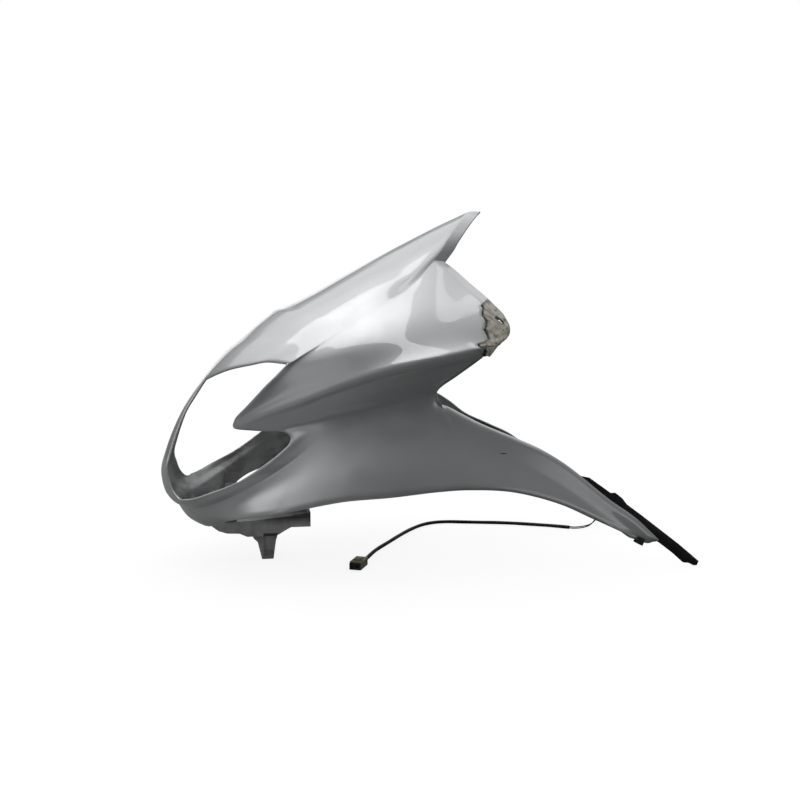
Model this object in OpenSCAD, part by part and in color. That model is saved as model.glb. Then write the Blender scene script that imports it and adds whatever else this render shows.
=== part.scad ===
// Motorbike headlight cowl: one thin moulded shell with a headlight opening on each side of a narrow
// nose strip, a wing blade on each side and a long leg running back and down, with the pieces it carries.
// Millimetres, +Z up, nose towards -X, the side seen in the photo is -Y, floor at z = 0.

/* [Cowl] */
// length over the black panels' ends
cowl_len = 767.4; // [740:0.1:800]
// height of the hood's tip over the floor
cowl_h = 514; // [500:1:530]
// width over the wing corners
wing_w = 413.5; // [400:0.5:430]
// wall of the moulding
wall_t = 3; // [2.5:0.5:3.5]
// depth of the rolled edge behind the hood and wing
roll_d = 15; // [10:1:18]

/* [Inner panels] */
// thickness of each black inner panel
panel_t = 3; // [2:0.5:4]
// distance from the middle plane to a panel's inner face
panel_y = 139; // [137:0.5:140]
// bolt hole at the end of each panel
tail_bore_d = 6.5; // [5.5:0.1:8]

/* [Fasteners] */
// shank of the panel screws
screw_d = 5; // [4:0.5:6]
// head of the panel screws
screw_head_d = 10; // [9:0.5:12]
// height of the screw heads
screw_head_h = 2.6; // [2:0.2:3.5]
// all-round gap of a screw in its hole
screw_gap = 0.25; // [0.1:0.05:0.4]
// outside of the rubber spacers on the screws
spacer_d = 13; // [12:0.5:16]

/* [Nose bracket] */
// thickness of the bracket's shelf
shelf_t = 6; // [5:0.5:7]
// width of the bracket's shelf
shelf_w = 76; // [70:1:90]
// width of the hanging tab
tab_w = 26; // [22:1:32]
// length of the tab along the bike
tab_l = 24; // [20:1:28]
// hole for the rubber grommet
grommet_hole_d = 14; // [13:0.5:16]
// height of the grommet's flanges
grommet_lip = 2; // [1.5:0.5:3]
// bolt hole through the grommet
stay_bore_d = 6.4; // [6:0.2:8]

/* [Lead] */
// outside of the black sleeve
sleeve_d = 5.6; // [5:0.2:6.4]
// outside of each wire
wire_d = 1.7; // [1.5:0.1:2]
// length of the connector's shell
plug_l = 31; // [28:1:36]
// width of the connector's shell
plug_w = 17; // [15:1:20]
// height of the connector's shell
plug_h = 11.5; // [10:0.5:13]

/* [Hidden] */
$fn = 48;

kx = cowl_len / 767.4;
ky = wing_w / 413.5;
kz = cowl_h / 514;
silver = [0.75, 0.76, 0.77];
black = [0.06, 0.06, 0.065];
grey = [0.3, 0.3, 0.31];

// The guides are drawn with the nose strip's front at x = -381; this brings the whole to the middle.
module centred() { translate([-2.3 * kx, 0, 0]) children(); }

// A curve through hand-set points: tangents from the neighbours, spaced by distance.
function run(P, i) = i == 0 ? 0 : run(P, i - 1) + norm(P[i] - P[i - 1]);
function runs(P) = [for (i = [0 : len(P) - 1]) run(P, i)];
function at(c, d, k = 0) = k >= len(c) - 2 || d <= c[k + 1] ? k : at(c, d, k + 1);
function tan_at(P, c, i) = let(a = max(i - 1, 0), b = min(i + 1, len(P) - 1)) (P[b] - P[a]) / (c[b] - c[a]);
function point(P, c, d) = let(k = at(c, d), h = c[k + 1] - c[k], t = (d - c[k]) / h)
    P[k] * (2 * t * t * t - 3 * t * t + 1) + tan_at(P, c, k) * h * (t * t * t - 2 * t * t + t)
    + P[k + 1] * (3 * t * t - 2 * t * t * t) + tan_at(P, c, k + 1) * h * (t * t * t - t * t);
function curve(P, n) = let(c = runs(P))
    [for (i = [0 : n]) i == 0 ? P[0] : i == n ? P[len(P) - 1] : point(P, c, c[len(c) - 1] * i / n)];
function rest(L) = [for (i = [1 : len(L) - 1]) L[i]];
function join(A, B) = concat(A, rest(B));

// A surface between four edges that meet at their ends, swollen in the middle by crown.
function blend(A, B, L, R, crown = [0, 0, 0]) = let(n = len(A) - 1, m = len(L) - 1)
    [for (j = [0 : m], i = [0 : n]) let(s = i / n, t = j / m)
    j == 0 ? A[i] : j == m ? B[i] : i == 0 ? L[j] : i == n ? R[j]
    : A[i] * (1 - t) + B[i] * t + L[j] * (1 - s) + R[j] * s
      - A[0] * (1 - s) * (1 - t) - A[n] * s * (1 - t) - B[0] * (1 - s) * t - B[n] * s * t
      + crown * sin(180 * t) * sqrt(sin(180 * s))];

// Points are [x, half width, z] on one side. Inward is the way that the wall's thickness goes.
function unit(v) = v / norm(v);
function inward(p) = let(q = pow(min(1, p[1] / 120), 1.3))
    unit(unit([max(p[0] + 120, -250) - p[0], 0, 150 - p[2]]) * (1 - q) + [0, -q, 0]);
function sided(p, s) = [p[0] * kx, s * p[1] * ky + 0, p[2] * kz];
function outer_pts(G, s) = [for (p = G) sided(p, s)];
function inner_pts(G, s) = [for (p = G) sided(p + inward(p) * wall_t, s)];

// Guide curves, front to back or top to bottom.
o1 = [-318, 38, 273]; // opening: top front corner
o2 = [-203, 152, 302]; // opening: top rear corner, near side
o2_far = [-195, 152, 305]; // the same corner on the far side, where the blade's tip is missing
oq = [-350, 90, 107]; // opening: lower front corner
ot = [-195, 148, 202]; // opening: tail
sp = [-277, 122, 218]; // blade tip, near side
sp_far = [-197, 158, 255]; // where the far blade stops
z0 = [-326, 0, 263]; // nose, middle, over the strip
g0 = [-368, 0, 92]; // nose, middle, where the lower crease starts
e0 = [-323, 0, 50]; // chin, middle
tip = [72, 0, 513]; // hood tip
be = [1, 95, 438]; // foot of the hood's rear edge
c2 = [46, 202, 312]; // wing, lower rear corner
nt = [-4, 148, 261]; // notch
kk = [-146, 154, 218]; // end of the lower crease
kb = [-181, 190, 116]; // bottom edge under it
le = [322, 151, 42]; // leg end, top
lb = [281, 156, 49]; // leg end, bottom

ridge = curve([z0, [-305, 0, 290], [-285, 0, 311], [-266, 0, 326], [-246, 0, 345], [-231, 0, 357],
    [-216, 0, 368], [-197, 0, 374], [-159, 0, 393], [-113, 0, 419], [-63, 0, 447], [-34, 0, 462],
    [17, 0, 488], tip], 16);
top_front = curve([z0, [-323, 22, 268], o1], 4);
function open_top(end) = curve([o1, [-303, 62, 282], [-284, 88, 291], [-256, 115, 299],
    [-235, 132, 304], end], 8);
function line_b(start) = curve([start, [-173, 150, 321], [-138, 147, 343], [-105, 142, 364], [-72, 134, 384],
    [-37, 122, 402], be], 16);
hood_rear = curve([tip, [54, 34, 499], [37, 58, 482], [26, 72, 469], [15, 84, 454], be], 12);
blade_top = curve([o2, [-225, 148, 276], [-242, 142, 257], [-259, 134, 239], sp], 8);
blade_top_far = curve([o2_far, [-195, 155, 280], sp_far], 8);
ridge_rear = [[-151, 171, 274], [-74, 187, 298], [-9, 197, 312], c2];
ridge_a = curve(concat([sp, [-251, 138, 235], [-221, 150, 247], [-191, 160, 258]], ridge_rear), 16);
ridge_a_far = curve(concat([sp_far], ridge_rear), 16);
wing_rear = curve([be, [20, 108, 428], [40, 136, 405], [62, 172, 380], [80, 204, 358], [84, 207, 346],
    [74, 206, 330], c2], 8);
wing_broken = [be, [18, 107, 427], [34, 135, 404], [49, 168, 380], [51, 192, 361], [46, 200, 349],
    [52, 204, 336], [39, 203, 329], c2];
blade_low = curve([sp, [-266, 128, 212], [-237, 136, 210], [-211, 143, 210], ot], 6);
blade_low_far = curve([sp_far, [-198, 153, 228], ot], 6);
junction_1 = curve([ot, [-172, 152, 210], kk], 4);
junction_2 = curve([kk, [-96, 154, 237], [-48, 151, 252], nt], 12);
wing_low = curve([c2, [29, 186, 294], [13, 168, 277], nt], 6);
strip_edge = curve([o1, [-334, 35, 253], [-349, 37, 230], [-361, 42, 203], [-369, 58, 172],
    [-373, 68, 152], [-370, 72, 133], [-365, 77, 119], [-357, 84, 109], oq], 14);
nose_mid = curve([z0, [-345, 0, 236], [-364, 0, 198], [-375, 0, 165], [-380, 0, 138], [-378, 0, 118],
    g0], 14);
nose_low = curve([g0, [-366, 45, 97], oq], 4);
open_low = curve([oq, [-331, 105, 111], [-308, 118, 122], [-273, 134, 140], [-246, 141, 159],
    [-220, 145, 178], ot], 12);
crease = curve([g0, [-355, 45, 90], [-326, 90, 97], [-287, 126, 117], [-254, 146, 138],
    [-225, 154, 155], [-196, 158, 175], [-164, 157, 201], kk], 12);
chin_mid = curve([g0, [-350, 0, 68], e0], 8);
bottom_1 = curve([e0, [-313, 58, 62], [-292, 112, 82], [-265, 156, 98], [-224, 184, 108], kb], 12);
side_line = curve([kk, [-156, 166, 180], [-170, 180, 145], kb], 8);
bottom_2 = curve([kb, [-133, 191, 123], [-72, 190, 126], [-10, 188, 131], [37, 186, 132],
    [98, 181, 126], [165, 173, 106], [219, 165, 80], lb], 26);
leg_top = curve([nt, [-3, 150, 248], [14, 152, 240], [58, 155, 217], [104, 156, 197], [143, 156, 179],
    [183, 155, 154], [246, 153, 104], [285, 152, 76], le], 14);
leg_end = curve([le, [316, 152, 40], [302, 153, 39], lb], 8);

hood_crown = [0, 3, 9];

// The rolled edge behind the hood and the wing's upper rear edge, turned down and in.
function rolled(P) = [for (i = [0 : len(P) - 1]) let(f = min(1, (len(P) - 1 - i) / 3), w = P[i][1])
    P[i] + [roll_d * (0.25 + 0.75 * f), -min(w, 5) * f, 1 - 3 * min(1, w / 60)] * max(f, 0.1)];
function first(L, n) = [for (i = [0 : n]) L[i]];

// One patch: its outside, its inside and the wall's edge on the sides that are free.
// turn is true where the patch runs the other way round. free is [top, bottom, front, rear], each a
// span of steps or no.
no = [0];
function patch(A, B, L, R, free = [no, no, no, no], turn = false, crown = [0, 0, 0]) =
    [blend(A, B, L, R, crown), len(A) - 1, len(L) - 1, free, turn];
function quad(a, b, c, d, flip) = flip ? [[a, c, b], [a, d, c]] : [[a, b, c], [a, c, d]];
function sheet_faces(base, n, m, flip) = [for (j = [0 : m - 1], i = [0 : n - 1])
    let(a = base + j * (n + 1) + i) each quad(a, a + 1, a + n + 2, a + n + 1, flip)];
function edge_faces(o, k, step, span, flip) = len(span) != 2 ? [] : [for (i = [span[0] : span[1] - 1])
    let(a = o + i * step, b = o + (i + 1) * step) each quad(b, a, a + k, b + k, flip)];
function patch_faces(p, base, s) = let(n = p[1], m = p[2], k = (n + 1) * (m + 1), f = p[3],
    flip = (s > 0) != p[4])
    concat(sheet_faces(base, n, m, flip), sheet_faces(base + k, n, m, !flip),
        edge_faces(base, k, 1, f[0], flip), edge_faces(base + m * (n + 1), k, 1, f[1], !flip),
        edge_faces(base, k, n + 1, f[2], !flip), edge_faces(base + n, k, n + 1, f[3], flip));
function patch_pts(p, s) = concat(outer_pts(p[0], s), inner_pts(p[0], s));
function count_to(list, i) = i == 0 ? 0 : count_to(list, i - 1) + 2 * len(list[i - 1][0][0]);
module sheets(list) { // list of [patch, side]
    polyhedron(points = [for (e = list) each patch_pts(e[0], e[1])],
        faces = [for (i = [0 : len(list) - 1]) each patch_faces(list[i][0], count_to(list, i), list[i][1])],
        convexity = 8);
}

function half(rear, roll_n, corner, blade_top, ridge_a, blade_low) = let(
    edge = join(hood_rear, first(rear, roll_n)), back = rolled(edge), n = len(edge) - 1, b = line_b(corner)) [
    patch(ridge, b, join(top_front, open_top(corner)), hood_rear, [no, no, [4, 12], no], false, hood_crown),
    patch(b, ridge_a, blade_top, rear, [no, no, [0, 8], [roll_n, 8]]),
    patch(ridge_a, join(junction_1, junction_2), blade_low, wing_low, [no, no, [0, 6], [0, 6]]),
    patch(open_low, crease, [for (i = [0 : 4]) nose_low[4 - i]], junction_1, [[0, 12], no, no, no]),
    patch(crease, bottom_1, chin_mid, side_line, [no, [0, 12], no, no]),
    patch(join(junction_2, leg_top), bottom_2, side_line, leg_end, [[12, 26], [0, 26], no, [0, 8]]),
    patch(nose_mid, strip_edge, top_front, nose_low, [no, [0, 14], no, no], true),
    patch(edge, back, [edge[0], back[0]], [edge[n], back[n]], [no, [0, n], no, [0, 1]], true)];

module cowl_shell() centred() {
    color(silver) sheets(concat(
        [for (p = half(wing_broken, 3, o2, blade_top, ridge_a, blade_low)) [p, -1]],
        [for (p = half(wing_rear, 8, o2_far, blade_top_far, ridge_a_far, blade_low_far)) [p, 1]]));
}

// Raw laminate behind the broken corner on the near side, under the shell's jagged edge.
lam_gap = 0.3;
lam_t = 2.2;
lam_top = [34, 134, 396];
lam_low = [38, 198, 314];
lam_out = curve([lam_top, [62, 174, 380], [82, 207, 358], [84, 210, 345], [73, 208, 329], lam_low], 12);
lam_in = curve([lam_top + [-1, 4, -6], [39, 165.5, 376], [41, 183.5, 363], [39, 195.5, 350], [39, 200.5, 336],
    lam_low + [-3, -3, 6]], 12);
module corner_laminate() centred() {
    g = blend(lam_out, lam_in, [lam_top, lam_top + [-1, 4, -6]], [lam_low, lam_low + [-3, -3, 6]]);
    n = len(lam_out) - 1;
    k = 2 * (n + 1);
    shift = wall_t + lam_gap;
    color([0.42, 0.40, 0.34]) polyhedron(
        points = [for (d = [shift, shift + lam_t], p = g) sided(p - [0, d, 0], -1)],
        faces = concat(sheet_faces(0, n, 1, false), sheet_faces(k, n, 1, true),
            edge_faces(0, k, 1, [0, n], false),
            edge_faces(n + 1, k, 1, [0, n], true), edge_faces(0, k, n + 1, [0, 1], true),
            edge_faces(n, k, n + 1, [0, 1], false)), convexity = 4);
}

// Extrudes an outline drawn in x and z, centred on y.
module across(w) { rotate([90, 0, 0]) linear_extrude(height = w, center = true) children(); }
// A cylinder along y from y = 0.
module along_y(r, h) { rotate([-90, 0, 0]) cylinder(r = r, h = h); }
module both() { children(); mirror([0, 1, 0]) children(); }

// Grey bracket under the nose: an open tray with a hanging tab, and a pad against the chin.
shelf_z = 53;
tab_x = -233;
stay_x = -187;
chin_shift = [-333 * (kx - 1), 0, 65 * (kz - 1)]; // the bracket keeps its size and follows the chin
clip_screw_x = -286;
clip_y = 24;
module nose_bracket() centred() {
    color(grey) translate(chin_shift) difference() {
        union() {
            across(shelf_w) polygon([[-312, 58], [-303, 51], [-291, 47], [-273, 46], [-262, 41], [-224, 41],
                [-216, 43], [-208, 48], [-198.5, shelf_z], [-170, shelf_z], [-170, 74], [-204, 69],
                [-250, 65], [-300, 63]]);
            across(24) polygon([[-331.8, 62], [-306, 56], [-296, 66], [-306, 71], [-335, 71]]);
            across(tab_w) polygon([[-257, 44], [-253, 32], [tab_x - tab_l / 2 - 2, 26],
                [tab_x - tab_l / 2 + 4, 0], [tab_x + tab_l / 2 - 3, 0], [tab_x + tab_l / 2 + 1, 28],
                [-215, 44]]);
        }
        translate([-300, 4 - shelf_w / 2, shelf_z + shelf_t]) cube([125, shelf_w - 8, 60]);
        for (y = [-1, 1]) translate([-231, y * tab_w / 2, 16]) cube([11, 5, 20], center = true);
        translate([stay_x, 0, shelf_z - 20]) cylinder(d = grommet_hole_d, h = 60);
        for (y = [-clip_y, clip_y]) translate([clip_screw_x, y, 20]) cylinder(d = screw_d, h = 60);
    }
}

module stay_grommet() centred() {
    h = shelf_t;
    r = grommet_hole_d / 2;
    color(black) translate(chin_shift + [stay_x, 0, shelf_z + 0.15]) rotate_extrude() polygon([
        [stay_bore_d / 2, -grommet_lip - 0.3],
        [r + 3, -grommet_lip - 0.3], [r + 3, -0.3], [r - 0.15, -0.3], [r - 0.15, h], [r + 3, h],
        [r + 3, h + grommet_lip], [stay_bore_d / 2, h + grommet_lip]]);
}

// Strap from the bracket's tray to the lower edge of one lamp opening, drawn in y and z.
clip_reach = 60; // beyond this the strap follows the opening
strap = [[16, 59.3], [34, 59.3], [34, 66.5], [106, 92], [114.3, 108], [111.6, 109.3], [103.5, 94],
    [31.5, 68], [31.5, 61.8], [16, 61.8]];
module lamp_clip(s) {
    color(grey) translate(chin_shift) difference() {
        translate([clip_screw_x - 9, 0, 0]) rotate([90, 0, 90]) linear_extrude(height = 18)
            polygon([for (p = strap) [s * (p[0] > clip_reach ? p[0] * ky : p[0]), p[1]]]);
        translate([clip_screw_x, s * clip_y, 40]) cylinder(d = screw_d + 2 * screw_gap, h = 40);
        for (y = [50, 68, 86]) translate([clip_screw_x, s * y * ky, 40]) cylinder(d = 9, h = 70);
    }
}
module lamp_clip_left() centred() { lamp_clip(-1); }
module lamp_clip_right() centred() { lamp_clip(1); }
module bracket_screws() centred() {
    color([0.5, 0.5, 0.52]) for (y = [-clip_y, clip_y]) translate(chin_shift + [clip_screw_x, y, 61.9]) {
        cylinder(d = screw_head_d - 2, h = screw_head_h);
        translate([0, 0, -13]) cylinder(d = screw_d - 0.2, h = 13.5);
    }
}

// Black panels inside the legs. Each boss is [x, z, end of the boss].
bosses = [[140, 158, 155.9], [200, 128, 151.9], [262, 78, 149.9]];
tail = [358, 18];
panel_pts = [[112, 192], [140, 183], [166, 172], [187, 158], [218, 134], [250, 111], [257, 111], [267, 103],
    [274, 94], [297, 77], [354, 33], [386, 6], [383, 0], [378, 0], [370, 4], [362, 5], [345, 20], [324, 36],
    [300, 50], [270, 64], [230, 88], [190, 106], [150, 124], [116, 136]];
drill = 2 * panel_y; // how far the drills run from the middle plane
function boss_at(b) = [b[0] * kx, 0, b[1] * kz];
module panel(s) {
    color(black) difference() {
        translate([0, s * (panel_y + panel_t / 2) * ky, 0]) across(panel_t)
            polygon([for (p = panel_pts) [p[0] * kx, p[1] * kz]]);
        for (b = bosses) translate(boss_at(b) + [0, min(s, 0) * drill, 0])
            along_y(screw_d / 2 + screw_gap, drill);
        translate([tail[0] * kx, min(s, 0) * drill, tail[1] * kz]) along_y(tail_bore_d / 2, drill);
    }
}
module panel_left() centred() { panel(-1); }
module panel_right() centred() { panel(1); }
boss_y = panel_y * ky + panel_t * (1 + ky) / 2;
module panel_bosses() centred() {
    color(black) both() for (b = bosses) difference() {
        translate(boss_at(b) + [0, boss_y, 0]) along_y(spacer_d / 2, b[2] * ky - boss_y);
        translate(boss_at(b) + [0, boss_y - 1, 0]) along_y(screw_d / 2 + 0.1, 7);
    }
}
module panel_screws() centred() {
    color([0.5, 0.5, 0.52]) both() for (b = bosses) translate(boss_at(b) + [0, boss_y - panel_t, 0]) {
        translate([0, -screw_head_h, 0]) along_y(screw_head_d / 2, screw_head_h);
        translate([0, -0.5, 0]) along_y(screw_d / 2, panel_t + 5);
    }
}

// Spring clips pushed over the leg's lower edge near its end, drawn across the edge.
leg_clip_x = 288;
leg_clip_z = 40;
module leg_clips() centred() {
    gap = wall_t + 3.2;
    t = 1.2;
    color(black) both() translate([leg_clip_x * kx, 152.6 * ky, leg_clip_z * kz]) rotate([0, 27, 0])
        translate([-6, 0, 0]) rotate([90, 0, 90]) linear_extrude(height = 12)
            polygon([[-gap / 2 - t, 13], [-gap / 2 - t, -t], [gap / 2 + t, -t], [gap / 2 + t, 9],
                [gap / 2, 9], [gap / 2, 0], [-gap / 2, 0], [-gap / 2, 13]]);
}

// The loose lead: two wires from a block on the far panel, a sleeve on the floor and a plug.
function ring(p, d, r, n) = let(x = unit(cross(abs(d[2]) > 0.9 ? [1, 0, 0] : [0, 0, 1], d)), y = cross(d, x))
    [for (i = [0 : n - 1]) p + r * cos(360 * i / n) * x + r * sin(360 * i / n) * y];
function way(P, i) = unit(P[min(i + 1, len(P) - 1)] - P[max(i - 1, 0)]);
module tube(P, r, n) {
    m = len(P) - 1;
    polyhedron(points = [for (i = [0 : m]) each ring(P[i], way(P, i), r, n)],
        faces = concat([[for (i = [0 : n - 1]) i]], [[for (i = [n - 1 : -1 : 0]) m * n + i]],
            [for (j = [0 : m - 1], i = [0 : n - 1]) let(a = j * n + i, b = j * n + (i + 1) % n)
                each [[a, a + n, b + n], [a, b + n, b]]]));
}
sl_z = sleeve_d / 2 + 0.2;
sleeve_pts = [[268, 92], [240, 108], [212, 121], [184, 133], [156, 142], [126, 149], [98, 156], [76, 161],
    [54, 160], [32, 149], [7, 122], [-18, 85], [-44, 42], [-69, 0], [-92, -51], [-97, -62]];
sleeve_run = curve([for (p = sleeve_pts) [p[0], p[1], sl_z]], 34);
clip_at = [338, 139, 36]; // the block, on the panel's inner face
// The lead keeps its route and moves with the panel that its block sits on.
module lead() { centred() translate([clip_at[0] * (kx - 1), panel_y * ky - clip_at[1], 0]) children(); }
wire_pts = [[268.3, 91.85, sl_z], [276, 88, sl_z], [292, 91, 3.2], [308, 103, 3.6], [324, 121, 8],
    [334, 131, 18], [338, 134.4, 29.9]];
wire_off = [[0, 0, 1.1], [0, 0, 1.1], [0, 0, 1.1], [0.4, -0.4, 0.9], [0.8, -0.7, 0.3], [0.9, -0.7, 0],
    [1.3, 0, 0]]; // half the way between the wires
function wire_path(k) = curve([for (i = [0 : 6]) wire_pts[i] + k * wire_off[i]], 13);
module lead_sleeve() lead() { color(black) tube(sleeve_run, sleeve_d / 2, 10); }
module lead_wire_a() lead() { color(black) tube(wire_path(1), wire_d / 2, 8); }
module lead_wire_b() lead() { color(black) tube(wire_path(-1), wire_d / 2, 8); }
module lead_clip() lead() {
    color(black) translate([clip_at[0], 0, clip_at[2]]) difference() {
        translate([-7, clip_at[1] - 9.3, -5.5]) cube([14, 9, 13]);
        translate([-8, clip_at[1] - 10, 4]) cube([4, 4, 5]);
    }
}
plug_at = [-97.1, -62.2];
plug_turn = 245;
module plug_frame() { translate([plug_at[0], plug_at[1], 0]) rotate([0, 0, plug_turn]) children(); }
module plug_shell() lead() {
    color([0.35, 0.35, 0.27]) plug_frame() difference() {
        union() {
            translate([0.2, -plug_w / 2, 0.2]) cube([plug_l - 0.2, plug_w, plug_h]);
            translate([7, -4, plug_h]) cube([16, 8, 2.2]);
        }
        translate([plug_l - 11, 1.6 - plug_w / 2, 1.8]) cube([12, plug_w - 3.2, plug_h - 3.2]);
        for (y = [-1, 1]) translate([-1, y * 3.6, sl_z]) rotate([0, 90, 0]) cylinder(d = 2.2, h = 25);
        for (y = [-1, 1]) translate([10, y * plug_w / 2, plug_h / 2]) cube([12, 2, 5], center = true);
    }
}
module plug_retainer() lead() {
    w = plug_w - 3.2 - 0.5;
    h = plug_h - 3.2 - 0.5;
    color(black) plug_frame() difference() {
        union() {
            translate([plug_l - 9, -w / 2, 2.05]) cube([12, w, h]);
            translate([plug_l + 0.3, -w / 2 - 1, 1.2]) cube([4, w + 2, h + 1.6]);
        }
        for (y = [-1, 1]) translate([plug_l - 10, y * 3.6, 2.05 + h / 2]) rotate([0, 90, 0])
            cylinder(d = 3, h = 20);
    }
}

cowl_shell();
corner_laminate();
nose_bracket();
stay_grommet();
bracket_screws();
lamp_clip_left();
lamp_clip_right();
panel_left();
panel_right();
panel_bosses();
panel_screws();
leg_clips();
lead_clip();
lead_wire_a();
lead_wire_b();
lead_sleeve();
plug_shell();
plug_retainer();
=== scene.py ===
import math

import bmesh
import bpy
import numpy as np
from bpy.props import FloatProperty, FloatVectorProperty, IntProperty, PointerProperty
from mathutils.kdtree import KDTree
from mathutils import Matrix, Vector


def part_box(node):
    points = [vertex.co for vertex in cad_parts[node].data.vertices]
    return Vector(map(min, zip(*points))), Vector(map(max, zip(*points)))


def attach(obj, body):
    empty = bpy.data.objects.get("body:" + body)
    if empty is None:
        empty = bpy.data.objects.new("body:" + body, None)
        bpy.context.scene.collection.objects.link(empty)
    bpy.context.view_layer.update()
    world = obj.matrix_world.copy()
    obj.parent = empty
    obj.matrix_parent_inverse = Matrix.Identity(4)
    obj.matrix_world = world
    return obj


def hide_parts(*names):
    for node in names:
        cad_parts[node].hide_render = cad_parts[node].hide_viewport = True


bl_info = {
    "name": "Headlight cowl",
    "version": (1, 0, 0),
    "blender": (4, 5, 0),
    "location": "3D View > Sidebar > Cowl",
    "description": "Dresses a motorbike headlight cowl: painted shell, broken corner, bracket and lead",
    "category": "Object",
}

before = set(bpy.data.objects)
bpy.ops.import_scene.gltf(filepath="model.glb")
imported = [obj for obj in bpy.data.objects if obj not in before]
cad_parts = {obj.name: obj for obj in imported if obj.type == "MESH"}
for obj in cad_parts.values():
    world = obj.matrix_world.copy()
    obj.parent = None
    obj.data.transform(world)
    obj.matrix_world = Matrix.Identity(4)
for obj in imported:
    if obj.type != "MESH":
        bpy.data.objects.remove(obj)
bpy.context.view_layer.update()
MM = 0.001
SHIFT_X = -2.3  # from the guides' frame to the model's, in mm
BODY = "root"


class ShellLooks(bpy.types.PropertyGroup):
    wall: FloatProperty(name="Wall", description="Thickness of the moulding",
                        default=0.003, unit="LENGTH")
    cells: IntProperty(name="Cells", description="Mesh cells to each step of a guide curve",
                       default=5, min=2, max=6)
    rim_bulge: FloatProperty(name="Rim bulge", description="How far a rounded edge stands out",
                             default=0.0009, unit="LENGTH")
    roll_depth: FloatProperty(name="Roll depth", description="Depth of the rolled rear edge",
                              default=0.015, unit="LENGTH")
    paint: FloatVectorProperty(name="Paint", description="Silver of the outside", subtype="COLOR",
                               default=(0.66, 0.672, 0.682))
    inside: FloatVectorProperty(name="Inside", description="Bare grey moulding inside", subtype="COLOR",
                                default=(0.60, 0.605, 0.61))


class PartLooks(bpy.types.PropertyGroup):
    edge: FloatProperty(name="Edge radius", description="Rounding of the small parts' edges",
                        default=0.0007, unit="LENGTH")
    laminate_wall: FloatProperty(name="Laminate wall", description="Thickness of the bare laminate",
                                 default=0.0022, unit="LENGTH")
    head_d: FloatProperty(name="Screw head", description="Diameter of the panel screws' heads",
                          default=0.010, unit="LENGTH")
    head_h: FloatProperty(name="Head height", description="Height of the screw heads",
                          default=0.0026, unit="LENGTH")
    grey: FloatVectorProperty(name="Grey plastic", description="Bracket and lamp clips", subtype="COLOR",
                              default=(0.74, 0.745, 0.75))
    black: FloatVectorProperty(name="Black plastic", description="Panels and spacers", subtype="COLOR",
                               default=(0.012, 0.012, 0.013))


class LeadLooks(bpy.types.PropertyGroup):
    sleeve_d: FloatProperty(name="Sleeve", description="Outside of the black sleeve",
                            default=0.0056, unit="LENGTH")
    wire_d: FloatProperty(name="Wire", description="Outside of each wire", default=0.0017, unit="LENGTH")
    nylon: FloatVectorProperty(name="Connector", description="Yellowed nylon", subtype="COLOR",
                               default=(0.20, 0.195, 0.12))


class StageLooks(bpy.types.PropertyGroup):
    lens: FloatProperty(name="Lens", description="Focal length of the camera in mm", default=45.0)
    floor: FloatProperty(name="Floor", description="Width of the floor", default=14.0, unit="LENGTH")
    window: FloatProperty(name="Windows", description="Radiance of the soft windows", default=2.4)
    sky: FloatProperty(name="Sky", description="Strength of the soft surround", default=1.0)


# Guide curves of the shell: x, half width and height in mm, front to back or top to bottom.
O1 = (-318, 38, 273)
O2 = (-203, 152, 302)
O2_FAR = (-195, 152, 305)
OQ = (-350, 92, 107)
OT = (-195, 152, 203)
SP = (-279, 122, 218)
SP_FAR = (-197, 158, 255)
Z0 = (-326, 0, 263)
G0 = (-366, 0, 92)
E0 = (-323, 0, 50)
TIP = (72, 0, 513)
BE = (1, 95, 438)
C2 = (67, 197, 327)
NT = (-4, 148, 261)
KK = (-146, 154, 218)
KB = (-181, 190, 116)
LE = (322, 151, 42)
LB = (281, 156, 49)
RIDGE = [Z0, (-305, 0, 290), (-285, 0, 311), (-266, 0, 326), (-246, 0, 345), (-231, 0, 357),
         (-216, 0, 368), (-197, 0, 374), (-159, 0, 393), (-113, 0, 419), (-63, 0, 447),
         (-34, 0, 462), (17, 0, 488), TIP]
TOP_FRONT = [Z0, (-323, 22, 268), O1]
OPEN_TOP = [O1, (-303, 62, 282), (-284, 88, 291), (-256, 115, 299), (-235, 132, 304)]
LINE_B = [(-173, 150, 321), (-138, 147, 343), (-105, 142, 364), (-72, 134, 384), (-37, 122, 402), BE]
HOOD_REAR = [TIP, (54, 34, 499), (37, 58, 482), (26, 72, 469), (15, 84, 454), BE]
BLADE_TOP = [O2, (-228, 148, 278), (-245, 142, 260), (-262, 134, 241), (-273, 127, 229), (-277, 123, 223), SP]
BLADE_TOP_FAR = [O2_FAR, (-195, 155, 280), SP_FAR]
RIDGE_REAR = [(-151, 171, 274), (-74, 187, 298), (-9, 197, 312), (42, 200, 323), C2]
RIDGE_A = [SP, (-251, 138, 235), (-221, 150, 247), (-191, 160, 258)] + RIDGE_REAR
RIDGE_A_FAR = [SP_FAR] + RIDGE_REAR
WING_REAR = [BE, (12, 103, 431), (35, 131, 405), (57, 160, 382), (80, 183, 355), (89, 188, 346),
             (82, 192, 337), (75, 195, 330), C2]
BLADE_LOW = [SP, (-278, 123, 214), (-272, 126, 212), (-262, 129, 211), (-237, 136, 210), (-211, 143, 210), OT]
BLADE_LOW_FAR = [SP_FAR, (-198, 153, 228), OT]
JUNCTION_1 = [OT, (-172, 152, 210), KK]
JUNCTION_2 = [KK, (-96, 154, 237), (-48, 151, 252), NT]
WING_LOW = [C2, (56, 194, 312), (48, 189, 305), (31, 177, 290), (14, 163, 275), NT]
STRIP_EDGE = [O1, (-331, 37, 253), (-345, 41, 231), (-357, 48, 204), (-368, 59, 172),
              (-373, 68, 152), (-370, 72, 133), (-365, 77, 119), (-357, 84, 109), OQ]
NOSE_MID = [Z0, (-345, 0, 236), (-363, 0, 198), (-374, 0, 165), (-379, 0, 138), (-376, 0, 118), G0]
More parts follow.
